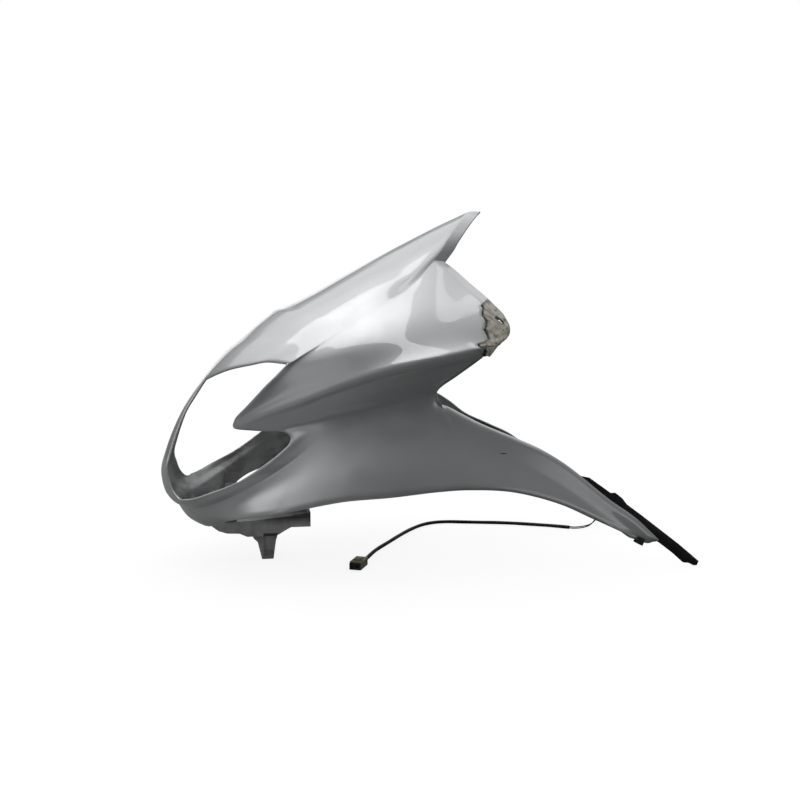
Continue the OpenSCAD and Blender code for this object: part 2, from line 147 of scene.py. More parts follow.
NOSE_LOW = [G0, (-366, 45, 97), OQ]
OPEN_LOW = [OQ, (-331, 112, 112), (-308, 127, 124), (-273, 145, 142), (-246, 152, 161),
            (-220, 154, 180), OT]
CREASE = [G0, (-355, 45, 90), (-326, 90, 97), (-287, 126, 117), (-254, 146, 138),
          (-225, 154, 155), (-196, 158, 175), (-164, 157, 201), KK]
CHIN_MID = [G0, (-350, 0, 68), E0]
BOTTOM_1 = [E0, (-313, 58, 62), (-292, 112, 82), (-265, 156, 98), (-224, 184, 108), KB]
SIDE_LINE = [KK, (-156, 166, 180), (-170, 180, 145), KB]
BOTTOM_2 = [KB, (-133, 191, 123), (-72, 190, 126), (-10, 188, 131), (37, 186, 132),
            (98, 181, 126), (165, 173, 106), (219, 165, 80), LB]
LEG_TOP = [NT, (-3, 150, 248), (14, 152, 240), (58, 155, 217), (104, 156, 197), (143, 156, 179),
           (183, 155, 154), (246, 153, 104), (285, 152, 76), LE]
LEG_TOP_FAR = LEG_TOP[:3] + [(54, 155, 226), (77, 155, 212), (104, 155, 192), (143, 156, 173),
                             (183, 155, 153)] + LEG_TOP[-3:]
LEG_END = [LE, (316, 152, 40), (302, 153, 39), LB]
# How far the middle of the hood and of the wing swells, and how long the wing's film settles.
HOOD_CROWN = (0, 3, 7)
WING_CROWN = (0, 10, 8)
FILM_TURNS = 1500

# The near wing's corner is broken off behind this line, in x and z. Three more points close the
# outline of what is gone.
BREAK_LINE = [(64, 392), (57, 380), (51, 379), (54, 374), (52, 370), (51, 364), (54, 360), (55, 356),
              (53, 349), (50, 348), (53, 341), (55, 334), (53, 332), (41, 330), (40, 326), (44, 322),
              (50, 320), (49, 312), (51, 300)]
BREAK_FAR = [(70, 290), (140, 290), (140, 420)]
BREAK_ROWS = 0.44  # share of the rear edge that is whole, from the top

# Creases are rounded in these steps: a radius in mm and how many turns.
SOFT_STEPS = ((28, 110), (14, 30), (7, 9), (3.5, 3))
# Shoulders of the free edges: how far they reach and how far they drop, in mm.
SHOULDERS = {"leg": (9.0, 3.2), "low": (7.0, 1.8), "opening": (3.5, 0.9), "under": (12.0, 3.5)}
RIM_TURNS = (40, 90, 140)  # degrees round the rim, from the outer side to the inner
TAIL_ROUND = 16  # how far the opening's rear corner is rounded, in mm
TAIL_TURNS = 40
TAIL_REACH, TAIL_SOFT = 12, 5.5  # so many mm round that corner creases are at least so soft

# Marks on the shell and its bare corner, in mm.
SCRATCH = (84.0, -172.0, 176.0)
SCRATCH_HALF = (5.5, 30.0, 0.7)
SLOT_AT = (75.5, 358.0)  # x and z
SLOT_HALF = (3.6, 1.4)  # half its length and width
SLOT_SHADE = (6.5, 2.0)  # half the patch of painted shade round it
SLOT_TILT = (0.79, -0.61)  # the way that it runs, in x and z

# The bare corner's mesh.
LAMINATE_CELLS = 5  # to each step of a guide curve
LAMINATE_ROWS, LAMINATE_COLS = 120, 72
LAMINATE_END = 0.585  # share of the rows where it ends
LAMINATE_ROLL = 15.0  # depth of its rolled edge, in mm

# Painted shade on the bracket: a band under the shell, and its tab with a dark groove above, in metres.
PAINTED_SHADE_Z, PAINTED_SHADE_X = (0.056, 0.067), (-0.262, -0.236)
TAB_X, TAB_FACE_X = (-0.240, -0.221), (-0.2365, -0.2245)
GROOVE_Z = (0.0375, 0.0445)

# The inner panels and the screws, in mm.
TAIL_HOLE = (358 + SHIFT_X, 18)  # x and z of the panels' rear hole, which the photo doesn't show
HOLE_REACH = 4.5
PANEL_UNDER = 10  # how far a panel's front edge stays under the leg's
PANEL_FRONT = 190  # the front edge is in front of this x
PANEL_SCREWS = ((140, 158), (200, 128), (262, 78))  # x and z
PANEL_FACE = 139  # half width at the panels' inner faces
BRACKET_SCREW_Y = 24
SHANK_D, BRACKET_SHANK_D = 5.0, 4.8
BRACKET_HEAD_LESS = 2.0  # how much smaller the bracket screws' heads are

# The lead's route, as its solids have it, in mm.
SLEEVE_PTS = [(268, 92), (240, 108), (212, 121), (184, 133), (156, 142), (126, 149), (98, 156), (76, 161),
              (54, 160), (32, 149), (7, 122), (-18, 85), (-44, 42), (-69, 0), (-92, -51), (-97, -62)]
SLEEVE_Z = 3.0
WIRE_PTS = [(268.3, 91.85, 3.0), (276, 88, 3.0), (292, 91, 3.2), (308, 103, 3.6), (324, 121, 8),
            (334, 131, 18), (338, 134.4, 29.9)]
WIRE_OFF = [(0, 0, 1.1), (0, 0, 1.1), (0, 0, 1.1), (0.4, -0.4, 0.9), (0.8, -0.7, 0.3), (0.9, -0.7, 0),
            (1.3, 0, 0)]

# The camera, and the soft windows overhead: how bright each is beside the others and its corners
# in metres at the ceiling's height.
CAMERA_AT = (-0.26224, -1.47474, 0.41070)
CAMERA_DOWN, CAMERA_TURN = 6.8, -8.8  # degrees
FLOOR_DROP = 0.0004
CEILING = 2.4
WINDOWS = {
    "window_a": (1.0, [(-1.50, -1.75), (-0.98, -2.45), (-0.48, -2.72), (-0.27, -1.50), (-0.15, -0.51),
                       (-0.14, 0.05), (-0.27, 0.26), (-0.60, 0.50), (-0.90, 0.72), (-1.25, 0.60),
                       (-1.50, 0.70), (-1.56, 0.15), (-1.42, -0.36), (-1.35, -0.85)]),
    "window_b": (0.75, [(0.08, -0.10), (0.055, -0.50), (0.03, -0.95), (0.04, -1.18), (0.09, -1.10),
                        (0.115, -0.95), (0.125, -0.60), (0.13, -0.30), (0.15, -0.10)]),
}
# The room that mirrors see: height of a way as a share from straight down to straight up, and how
# bright it is there.
ROOM_SHADES = [(0.0, 0.03), (0.49, 0.04), (0.53, 0.09), (0.62, 0.15), (0.69, 0.30), (0.76, 0.80),
               (0.87, 0.78), (1.0, 0.70)]
ROOM_COLOUR = (0.985, 1.0, 1.01, 1)
# The ways to two soft lamps low on the camera's sides, and how bright each is.
LOW_LAMPS = [((-0.57, -0.81, 0.12), 0.60), ((0.69, -0.72, 0.00), 0.70)]
FILL = (0.06, 0.46)  # radiance of the even fill straight down and straight up


def hermite(points, steps):
    """Curve through given points: cubic pieces whose tangents come from the neighbouring
    points, walked evenly by the distance along the points' own polyline."""
    p = np.array(points, float)
    run = np.concatenate([[0], np.cumsum(np.linalg.norm(np.diff(p, axis=0), axis=1))])
    before, after = np.maximum(np.arange(len(p)) - 1, 0), np.minimum(np.arange(len(p)) + 1, len(p) - 1)
    tangent = (p[after] - p[before]) / (run[after] - run[before])[:, None]
    d = np.linspace(0, run[-1], steps + 1)
    k = np.clip(np.searchsorted(run, d, side="left") - 1, 0, len(p) - 2)
    h = (run[k + 1] - run[k])[:, None]
    t = (d[:, None] - run[k][:, None]) / h
    out = (p[k] * (2 * t**3 - 3 * t**2 + 1) + tangent[k] * h * (t**3 - 2 * t**2 + t)
           + p[k + 1] * (3 * t**2 - 2 * t**3) + tangent[k + 1] * h * (t**3 - t**2))
    out[0], out[-1] = p[0], p[-1]
    return out


def joined(a, b):
    """Two curves as one; b starts where a ends."""
    return np.concatenate([a, b[1:]])


def coons(top, bottom, front, rear, crown=(0, 0, 0), ease=1.0):
    """Surface between four edges: straight lines from top to bottom, plus what the front and rear
    edges have over such a line, fading along the rows by a power, swollen in the middle by crown.
    Rows run from top to bottom."""
    s = np.linspace(0, 1, len(top))[None, :, None]
    t = np.linspace(0, 1, len(front))[:, None, None]
    p = top[None] * (1 - t) + bottom[None] * t
    p = p + (front[:, None] - p[:, :1]) * (1 - s) ** ease + (rear[:, None] - p[:, -1:]) * s ** ease
    p = p + np.array(crown) * np.sin(np.pi * t) * np.sin(np.pi * s) ** 0.75
    p[0], p[-1], p[:, 0], p[:, -1] = top, bottom, front, rear
    return p


def stretched(grid, turns, crown):
    """The grid like a film over its four edges: every inner point goes to the middle of its four
    neighbours, again and again, and then the middle swells by crown."""
    p = grid.copy()
    for _ in range(turns):
        p[1:-1, 1:-1] = (p[:-2, 1:-1] + p[2:, 1:-1] + p[1:-1, :-2] + p[1:-1, 2:]) / 4
    s = np.sin(np.pi * np.linspace(0, 1, grid.shape[1]))[None, :, None]
    t = np.sin(np.pi * np.linspace(0, 1, grid.shape[0]))[:, None, None]
    return p + np.array(crown) * s * t


def sample(grid, s, t):
    """Point of a grid surface at shares s along its rows and t down its columns."""
    rows, cols = grid.shape[0] - 1, grid.shape[1] - 1
    a, b = np.clip(s, 0, 1) * cols, np.clip(t, 0, 1) * rows
    i, j = np.minimum(a.astype(int), cols - 1), np.minimum(b.astype(int), rows - 1)
    u, v = (a - i)[..., None], (b - j)[..., None]
    return ((grid[j, i] * (1 - u) + grid[j, i + 1] * u) * (1 - v)
            + (grid[j + 1, i] * (1 - u) + grid[j + 1, i + 1] * u) * v)


def inside(polygon, x, z):
    """True where a point of the x and z plane is inside the polygon, by counting crossings."""
    p = np.array(polygon, float)
    q = np.roll(p, -1, axis=0)
    x, z = x[..., None], z[..., None]
    crosses = (p[:, 1] > z) != (q[:, 1] > z)
    slope = np.where(q[:, 1] == p[:, 1], 1, q[:, 1] - p[:, 1])
    at = p[:, 0] + (z - p[:, 1]) / slope * (q[:, 0] - p[:, 0])
    return (crosses & (x < at)).sum(-1) % 2 == 1


def unit(v):
    """Each vector divided by its length."""
    return v / np.maximum(np.linalg.norm(v, axis=-1, keepdims=True), 1e-12)


def placed(points):
    """Guide points in mm, with y as it is, to metres in the model's frame."""
    return (np.array(points, float) + np.array([SHIFT_X, 0, 0])) * MM


def wing_pair(k, near, under_rows):
    """One side's whole wing, which is a film over its edges, and the surface under it."""
    corner, ridge = (O2, RIDGE_A) if near else (O2_FAR, RIDGE_A_FAR)
    blade_top, blade_low = (BLADE_TOP, BLADE_LOW) if near else (BLADE_TOP_FAR, BLADE_LOW_FAR)
    ridge = hermite(ridge, 16 * k)
    wing = coons(hermite([corner] + LINE_B, 16 * k), ridge, hermite(blade_top, 14 * k),
                 calmed(hermite(WING_REAR, 14 * k), 6 * k))
    junction = joined(hermite(JUNCTION_1, 4 * k), hermite(JUNCTION_2, 12 * k))
    under = coons(ridge, junction, hermite(blade_low, under_rows), hermite(WING_LOW, under_rows))
    return stretched(wing, FILM_TURNS, WING_CROWN), under


def unbroken_wing(k):
    """The near wing and the surface under it before they broke, as one grid, and the share of each
    row that is left."""
    wing, under = wing_pair(k, True, 14 * k)
    left = np.concatenate([break_share(wing, BREAK_ROWS), break_share(under)[1:]])
    return np.concatenate([wing, under[1:]]), left


def break_share(grid, whole_rows=0.0):
    """For each row of a near patch, the share of its length that is left in front of the break.
    Rows up to the share whole_rows are whole."""
    t = np.linspace(0, 1, grid.shape[0])
    s = np.linspace(0.6, 1, 500)
    p = sample(grid, np.broadcast_to(s, (len(t), len(s))), np.broadcast_to(t[:, None], (len(t), len(s))))
    gone = inside(BREAK_LINE + BREAK_FAR, p[..., 0], p[..., 2])
    first = np.where(gone.any(1), s[np.argmax(gone, axis=1)], 1.0)
    first[t < whole_rows] = 1.0
    return first


def cut_back(grid, left):
    """Rows drawn back to the share that is left: the rear half of each row is squeezed."""
    s = np.linspace(0, 1, grid.shape[1])[None, :]
    t = np.broadcast_to(np.linspace(0, 1, grid.shape[0])[:, None], grid.shape[:2])
    squeeze = np.clip((s - 0.5) / 0.5, 0, 1) ** 2 * (1 - left[:, None])
    return np.where((left < 1)[:, None, None], sample(grid, s - squeeze, t), grid)


def rolled(edge, depth):
    """The strip behind the hood and wing, from the edge by a vector that is set at a few half
    widths: straight back and a little inwards and down at the hood, more inwards and up at the
    wing, and small beyond the corner."""
    w = edge[:, 1]
    at = (0, 12, 60, 95, 101, 120, 178, 188, 197)
    back = np.stack([np.interp(w, at, (1.10, 1.05, 1.1, 1.2, 0.62, 0.60, 0.62, 0.25, 0.12)) * depth,
                     -np.interp(w, at, (0, 3, 4, 8, 13, 14, 14, 3, 1)),
                     np.interp(w, at, (0, -1, -2, -1, 3.5, 5.5, 5.0, 0, -1))], axis=1)
    return edge + back


def calmed(edge, turns):
    """An edge with its small bends averaged out; its ends stay."""
    edge = edge.copy()
    for _ in range(turns):
        edge[1:-1] += ((edge[:-2] + edge[2:]) / 2 - edge[1:-1]) / 2
    return edge


def leg_patch(k, near, junction, side_line):
    """A leg: its surface follows a calmed upper edge, and the edge's own bends fade in near the
    top by the seventh power."""
    top = joined(junction, hermite(LEG_TOP if near else LEG_TOP_FAR, 14 * k))
    calm = calmed(top, 60 * k)
    leg = coons(calm, hermite(BOTTOM_2, 26 * k), side_line, hermite(LEG_END, 6 * k))
    t = np.linspace(0, 1, len(side_line))[:, None, None]
    return leg + (top - calm)[None] * (1 - t) ** 7


def side_patches(k, near, depth):
    """One side's patches. Each is a grid, with how soft its four borders are in mm: top, bottom,
    front and rear. A free edge has a negative number."""
    corner = O2 if near else O2_FAR
    line_b = hermite([corner] + LINE_B, 16 * k)
    hood_rear = hermite(HOOD_REAR, 12 * k)
    top_front, nose_low = hermite(TOP_FRONT, 4 * k), hermite(NOSE_LOW, 4 * k)
    crease = calmed(hermite(CREASE, 12 * k), 6 * k)
    side_line = hermite(SIDE_LINE, 6 * k)
    wing, under = wing_pair(k, near, 8 * k)
    rear = wing[:, -1].copy()
    if near:
        left = break_share(wing, BREAK_ROWS)
        wing = cut_back(wing, left)
        low_left = break_share(under)
        low_left[0] = left[-1]
        under = cut_back(under, low_left)
        under[0] = wing[-1]
        rear = rear[:int(np.argmax(left < 1))]
    hood = coons(hermite(RIDGE, 16 * k), line_b,
                 joined(top_front, hermite(OPEN_TOP + [corner], 8 * k)), hood_rear, HOOD_CROWN)
    lip = coons(calmed(hermite(OPEN_LOW, 12 * k), 8 * k), crease, nose_low[::-1],
                hermite(JUNCTION_1, 4 * k))
    chin = coons(crease, hermite(BOTTOM_1, 12 * k), hermite(CHIN_MID, 6 * k), side_line)
    leg = leg_patch(k, near, hermite(JUNCTION_2, 12 * k), side_line)
    nose = coons(hermite(NOSE_MID, 14 * k), hermite(STRIP_EDGE, 14 * k), top_front, nose_low)
    edge = joined(hood_rear, rear)
    roll = np.linspace(edge, rolled(edge, depth), 2 * k + 1)
    ridge_soft = np.linspace(13, 5, 16 * k + 1)
    crease_soft = np.interp(np.linspace(0, 1, 12 * k + 1), (0, 0.08, 0.2), (12, 6, 1.5))
    hood_soft = np.interp(np.linspace(0, 1, 16 * k + 1), (0, 0.85, 1), (14, 12, 3))
    junction_soft = np.concatenate([np.full(4 * k, 4.0), np.linspace(6, 24, 12 * k + 1)])
    return [
        (hood, (hood_soft, 3, 9, 1.5)),
        (wing, (3, ridge_soft, -3, 1.5)),
        (under, (ridge_soft, junction_soft, -4, -6)),
        (lip, (-3, crease_soft, 12, 4)),
        (chin, (crease_soft, -5, 14, 28)),
        (leg, (0, -5, 28, -5)),
        (nose, (10, -3, 9, 9)),
        (roll, (1.5, -2, 2, -2)),
    ]


def merged_sheet(k, depth):
    """Both sides' patches as one sheet: points in metres, quads that face outwards, triangles
    where a quad has shrunk at a corner, and how soft each point is. Points that meet are merged
    by their places, rounded to half a thousandth of a mm."""
    points, quads, softs, start = [], [], [], 0
    for side in (-1, 1):
        for grid, borders in side_patches(k, side < 0, depth):
            rows, cols = grid.shape[:2]
            p = (grid * np.array([1, side, 1]) + np.array([SHIFT_X, 0, 0])).reshape(-1, 3)
            soft = np.zeros((rows, cols))
            for border, row in zip(borders, (np.s_[0], np.s_[-1], np.s_[:, 0], np.s_[:, -1])):
                held = np.broadcast_to(np.maximum(border, 0), soft[row].shape)
                soft[row] = np.maximum(soft[row], held)
            q = grid_faces(rows, cols)
            a, b, c = p[q[:, 0]], p[q[:, 1]], p[q[:, 2]]
            if (np.cross(b - a, c - b) * outward(a)).sum() < 0:
                q = q[:, ::-1]
            points.append(p)
            quads.append(q + start)
            softs.append(soft.ravel())
            start += rows * cols
    points, quads, softs = np.concatenate(points), np.concatenate(quads), np.concatenate(softs)
    _, first, back = np.unique(np.round(points * 2000), axis=0, return_index=True, return_inverse=True)
    back = back.ravel()
    soft = np.zeros(len(first))
    np.maximum.at(soft, back, softs)
    quads = back[quads]
    whole = np.array([len(set(q)) for q in quads.tolist()]) == 4
    return points[first] * MM, quads[whole], quads[~whole], soft


def outward(p):
    """Rough way out of the shell: sideways at the sides, away from the middle line elsewhere."""
    q = np.minimum(1, np.abs(p[:, 1:2]) / 120) ** 1.3
    core = np.concatenate([p[:, :1] - np.maximum(p[:, :1] + 120, -250), np.zeros((len(p), 1)),
                           p[:, 2:3] - 150], axis=1)
    return unit(core) * (1 - q) + np.concatenate([q * 0, np.sign(p[:, 1:2]) * q, q * 0], axis=1)


def edges_of(faces):
    """Each face's edges in turn, as pairs of point numbers."""
    return np.concatenate([np.stack([faces[:, i], faces[:, (i + 1) % faces.shape[1]]], 1)
                           for i in range(faces.shape[1])])


def border_edges(faces):
    """The edges that only one face has, kept in the face's own direction."""
    e = np.concatenate([edges_of(f) for f in faces if len(f)])
    e = e[e[:, 0] != e[:, 1]]
    key = np.sort(e, axis=1)
    _, inverse, count = np.unique(key, axis=0, return_inverse=True, return_counts=True)
    return e[count[inverse.ravel()] == 1]


def point_normals(p, faces):
    """Each point's normal: the sum of its faces' own normals, by area."""
    n = np.zeros_like(p)
    for f in faces:
        if len(f):
            cross = np.cross(p[f[:, 2]] - p[f[:, 0]], p[f[:, -1]] - p[f[:, 1]])
            for i in range(f.shape[1]):
                np.add.at(n, f[:, i], cross)
    return unit(n)


def distance_to(p, targets):
    """Each point's distance to the nearest target point."""
    tree = KDTree(len(targets))
    for i, q in enumerate(targets):
        tree.insert(q, i)
    tree.balance()
    return np.array([tree.find(q)[2] for q in p])


def softened(p, faces, soft, held):
    """Rounds the creases: points near a soft border move towards their neighbours' mean, the more
    often the softer the border is. Held points stay."""
    e = np.unique(np.sort(np.concatenate([edges_of(f) for f in faces if len(f)]), axis=1), axis=0)
    e = e[e[:, 0] != e[:, 1]]
    count = np.bincount(e.ravel(), minlength=len(p))[:, None]
    p = p.copy()
    for radius, turns in SOFT_STEPS:
        near = soft >= radius * 0.75
        if not near.any():
            continue
        weight = np.clip(1.4 - distance_to(p, p[near]) / (radius * MM), 0, 1)
        weight = np.where(held, 0, weight * weight * (3 - 2 * weight))[:, None] * 0.5
        for _ in range(turns):
            total = np.stack([np.bincount(e[:, 0], p[e[:, 1], i], len(p))
                              + np.bincount(e[:, 1], p[e[:, 0], i], len(p)) for i in range(3)], 1)
            p += weight * (total / count - p)
    return p


def rounded_corner(p, faces, corner, radius, turns):
    """Rounds a sharp corner of a free edge: each rim point near it moves towards the middle of its
    two neighbours along the rim."""
    edge = border_edges(faces)
    after, before = np.arange(len(p)), np.arange(len(p))
    after[edge[:, 0]], before[edge[:, 1]] = edge[:, 1], edge[:, 0]
    p = p.copy()
    for side in (-1, 1):
        centre = placed((corner[0], side * corner[1], corner[2]))
        ring = np.unique(edge)
        ring = ring[np.linalg.norm(p[ring] - centre, axis=1) < radius * MM]
        share = np.clip(1.5 * (1 - np.linalg.norm(p[ring] - centre, axis=1) / (radius * MM)), 0, 1)[:, None]
        for _ in range(turns):
            p[ring] += share * ((p[after[ring]] + p[before[ring]]) / 2 - p[ring]) / 2
    return p


def walled(p, faces, wall, bulge):
    """Gives a sheet its inner side and a rounded rim. The rim's rows go round half a circle from
    the outer to the inner edge point. Returns points, faces and 0 outside, 1 inside."""
    n = point_normals(p, faces)
    edge = border_edges(faces)
    ring = np.unique(edge)
    tangent = unit(p[edge[:, 1]] - p[edge[:, 0]])
    out = np.zeros_like(p)
    for i in (0, 1):
        np.add.at(out, edge[:, i], np.cross(tangent, n[edge[:, i]]))
    out = unit(out)[ring]
    rows = [ring]
    points = [p, p - n * wall]
    base = 2 * len(p)
    for turn in np.radians(RIM_TURNS):
        points.append(p[ring] - n[ring] * wall * (1 - np.cos(turn)) / 2 + out * bulge * np.sin(turn))
        rows.append(base + np.arange(len(ring)))
        base += len(ring)
    rows.append(ring + len(p))
    place = np.zeros(len(p), int)
    place[ring] = np.arange(len(ring))
    a, b = place[edge[:, 0]], place[edge[:, 1]]
    rim = [np.stack([r[b], r[a], s[a], s[b]], 1) for r, s in zip(rows, rows[1:])]
    sides = [(f, 0) for f in faces if len(f)] + [(f[:, ::-1] + len(p), 1) for f in faces if len(f)]
    sides += [(f, 0) for f in rim]
    return np.concatenate(points), sides


def mesh_object(name, points, parts, materials):
    """A mesh at the origin from points in metres and (faces, material number) parts, rid of
    repeated corners, riding on the body."""
    faces, numbers = [], []
    for f, number in parts:
        for face in np.asarray(f).tolist():
            kept = list(dict.fromkeys(face))
            if len(kept) > 2:
                faces.append(kept)
                numbers.append(number)
    used, index = np.unique(np.concatenate([np.array(f) for f in faces]), return_inverse=True)
    index = index.tolist()
    cut, at = [], 0
    for f in faces:
        cut.append(index[at:at + len(f)])
        at += len(f)
    mesh = bpy.data.meshes.new(name)
    mesh.from_pydata(np.asarray(points)[used].tolist(), [], cut)
    for m in materials:
        mesh.materials.append(m)
    mesh.polygons.foreach_set("material_index", np.array(numbers, dtype=np.int32))
    mesh.polygons.foreach_set("use_smooth", np.full(len(faces), True))
    mesh.update()
    obj = bpy.data.objects.new(name, mesh)
    bpy.context.scene.collection.objects.link(obj)
    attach(obj, BODY)
    return obj


def grid_faces(rows, cols, around=False):
    """Quads of a grid of points, closed across its columns if around."""
    i = np.arange(rows * cols).reshape(rows, cols)
    if around:
        i = np.concatenate([i, i[:, :1]], axis=1)
    return np.stack([i[:-1, :-1], i[:-1, 1:], i[1:, 1:], i[1:, :-1]], -1).reshape(-1, 4)


class Tree:
    """A short way to lay out nodes."""

    def __init__(self, tree):
        self.tree = tree

    def add(self, kind, **values):
        node = self.tree.nodes.new(kind)
        for key, value in values.items():
            setattr(node, key, value)
        return node

    def link(self, a, b):
        self.tree.links.new(a, b)

    def put(self, value, socket):
        """Links a socket to another, or sets a plain value."""
        if isinstance(value, bpy.types.NodeSocket):
            self.link(value, socket)
        else:
            socket.default_value = value

    def math(self, operation, a, b=0.0):
        node = self.add("ShaderNodeMath", operation=operation)
        self.put(a, node.inputs[0])
        self.put(b, node.inputs[1])
        return node.outputs["Value"]

    def times(self, a, b):
        return self.math("MULTIPLY", a, b)

    def most(self, a, b):
        return self.math("MAXIMUM", a, b)

    def ramp(self, value, low, high, a=0.0, b=1.0, kind="LINEAR"):
        """Maps low..high to a..b, straight or eased."""
        node = self.add("ShaderNodeMapRange", interpolation_type=kind)
        for key, number in (("From Min", low), ("From Max", high), ("To Min", a), ("To Max", b)):
            node.inputs[key].default_value = number
        self.link(value, node.inputs["Value"])
        return node.outputs["Result"]

    def eased(self, value, low, high, a, b):
        return self.ramp(value, low, high, a, b, "SMOOTHSTEP")

    def between(self, value, span, soft):
        """1 within a span and 0 from soft outside it."""
        low, high = span
        return self.times(self.ramp(value, low - soft, low), self.ramp(value, high, high + soft, 1.0, 0.0))

    def axes(self, vector):
        parts = self.add("ShaderNodeSeparateXYZ")
        self.link(vector, parts.inputs["Vector"])
        return [parts.outputs[axis] for axis in "XYZ"]

    def either(self, factor, a, b):
        """Shader a at 0 and shader b at 1."""
        node = self.add("ShaderNodeMixShader")
        self.link(factor, node.inputs["Fac"])
        self.link(a, node.inputs[1])
        self.link(b, node.inputs[2])
        return node.outputs[0]


class Nodes(Tree):
    """One material's nodes, in object space."""

    def __init__(self, name):
        self.material = bpy.data.materials.new(name)
        self.material.use_nodes = True
        super().__init__(self.material.node_tree)
        self.shader = self.tree.nodes["Principled BSDF"]
        self.base = self.shader.inputs["Base Color"]
        self.place = self.add("ShaderNodeTexCoord").outputs["Object"]

    def set(self, **values):
        for key, value in values.items():
            self.shader.inputs[key.replace("_", " ")].default_value = value

    def noise(self, scale, detail=3.0, rough=0.55, squash=(1, 1, 1)):
        """Noise in object space, squashed along an axis where it runs in streaks."""
        mapping = self.add("ShaderNodeMapping")
        mapping.inputs["Scale"].default_value = squash
        self.link(self.place, mapping.inputs["Vector"])
        node = self.add("ShaderNodeTexNoise")
        node.inputs["Scale"].default_value = scale
        node.inputs["Detail"].default_value = detail
        node.inputs["Roughness"].default_value = rough
        self.link(mapping.outputs["Vector"], node.inputs["Vector"])
        return node.outputs["Fac"]

    def mix(self, factor, a, b, blend="MIX"):
        """Mixes two colours by a factor; each may be a socket."""
        node = self.add("ShaderNodeMix", data_type="RGBA", blend_type=blend)
        self.put(factor, node.inputs["Factor"])
        for value, socket in ((a, node.inputs["A"]), (b, node.inputs["B"])):
            self.put(value if isinstance(value, bpy.types.NodeSocket) else (*value, 1), socket)
        return node.outputs["Result"]

    def roughness(self, value, low, high, a, b):
        self.link(self.ramp(value, low, high, a, b), self.shader.inputs["Roughness"])

    def bump(self, height, strength, distance):
        node = self.add("ShaderNodeBump")
        node.inputs["Strength"].default_value = strength
        node.inputs["Distance"].default_value = distance
        self.link(height, node.inputs["Height"])
        self.link(node.outputs["Normal"], self.shader.inputs["Normal"])
        return node

    def spot(self, centre, half):
        """1 inside a small box round a point, 0 outside, with soft sides."""
        part = self.add("ShaderNodeVectorMath", operation="SUBTRACT")
        self.link(self.place, part.inputs[0])
        part.inputs[1].default_value = centre
        scaled = self.add("ShaderNodeVectorMath", operation="DIVIDE")
        self.link(part.outputs[0], scaled.inputs[0])
        scaled.inputs[1].default_value = half
        size = self.add("ShaderNodeVectorMath", operation="LENGTH")
        self.link(scaled.outputs[0], size.inputs[0])
        return self.ramp(size.outputs["Value"], 0.75, 1.15, 1.0, 0.0)


def silver_paint(colour):
    """Metallic silver under clear coat: fine flake, faint orange peel, a scratch and dust."""
    m = Nodes("silver_paint")
    tone = m.ramp(m.noise(9), 0.3, 0.7, 0.97, 1.03)
    flake = m.ramp(m.noise(2600, 1), 0.35, 0.65, 0.95, 1.05)
    silver = m.mix(1.0, colour, m.times(tone, flake), "MULTIPLY")
    scratch = m.spot([c * MM for c in SCRATCH], [c * MM for c in SCRATCH_HALF])
    speck = m.ramp(m.noise(420, 2, 0.7), 0.74, 0.8)
    m.link(m.mix(m.most(scratch, m.times(speck, 0.25)), silver, (0.05, 0.05, 0.052)), m.base)
    m.set(Metallic=0.6, Coat_Weight=1.0, Coat_Roughness=0.015, Coat_IOR=1.8)
    m.roughness(m.noise(35, 2), 0.3, 0.7, 0.39, 0.45)
    peel = m.bump(m.noise(260, 2), 0.03, 0.0004)
    m.link(peel.outputs["Normal"], m.shader.inputs["Coat Normal"])
    return m.material


def bare_inside(colour):
    """Grey moulding inside the shell with silver overspray, dust and black smears."""
    m = Nodes("bare_inside")
    smear = m.ramp(m.noise(16, 5, 0.62, (1, 1, 1.6)), 0.42, 0.62)
    spray = m.ramp(m.noise(24, 4), 0.45, 0.66)
    base = m.mix(smear, colour, tuple(c * 0.42 for c in colour))
    base = m.mix(m.times(spray, 0.7), base, (0.30, 0.305, 0.31))
    fleck = m.ramp(m.noise(300, 3, 0.75), 0.62, 0.7)
    m.link(m.mix(m.times(fleck, 0.6), base, (0.02, 0.019, 0.018)), m.base)
    m.roughness(m.noise(50, 3), 0.3, 0.7, 0.38, 0.62)
    m.set(Metallic=0.25)
    m.bump(m.noise(700, 3), 0.12, 0.0004)
    return m.material


def bare_laminate():
    """Dirty resin and glass fibre where the corner broke away, dark in its cracks, with painted
    shade along the paint's broken edge and round the slot.
    """
    m = Nodes("bare_laminate")
    patch = m.ramp(m.noise(62, 5, 0.65), 0.4, 0.6)
    base = m.mix(patch, (0.56, 0.51, 0.40), (0.80, 0.77, 0.69))
    fibre = m.ramp(m.noise(240, 4, 0.7, (1, 1, 5)), 0.5, 0.66)
    base = m.mix(m.times(fibre, 0.55), base, (0.66, 0.64, 0.58))
    dirt = m.ramp(m.noise(95, 5, 0.7, (1.4, 1, 1)), 0.55, 0.66)
    base = m.mix(m.times(dirt, 0.85), base, (0.05, 0.043, 0.034))
    # the mark darkens the cracks, and is painted shade along the paint's edge and round the slot
    crack_and_shade = m.add("ShaderNodeAttribute", attribute_name="crack_and_shade")
    m.link(m.mix(crack_and_shade.outputs["Fac"], base, (0.012, 0.011, 0.010)), m.base)
    m.roughness(fibre, 0, 1, 0.5, 0.3)
    m.set(Coat_Weight=0.25, Coat_Roughness=0.25, Subsurface_Weight=0.12, Subsurface_Scale=0.004)
    m.bump(m.noise(330, 5, 0.7, (1, 1, 3)), 0.5, 0.0009)
    return m.material


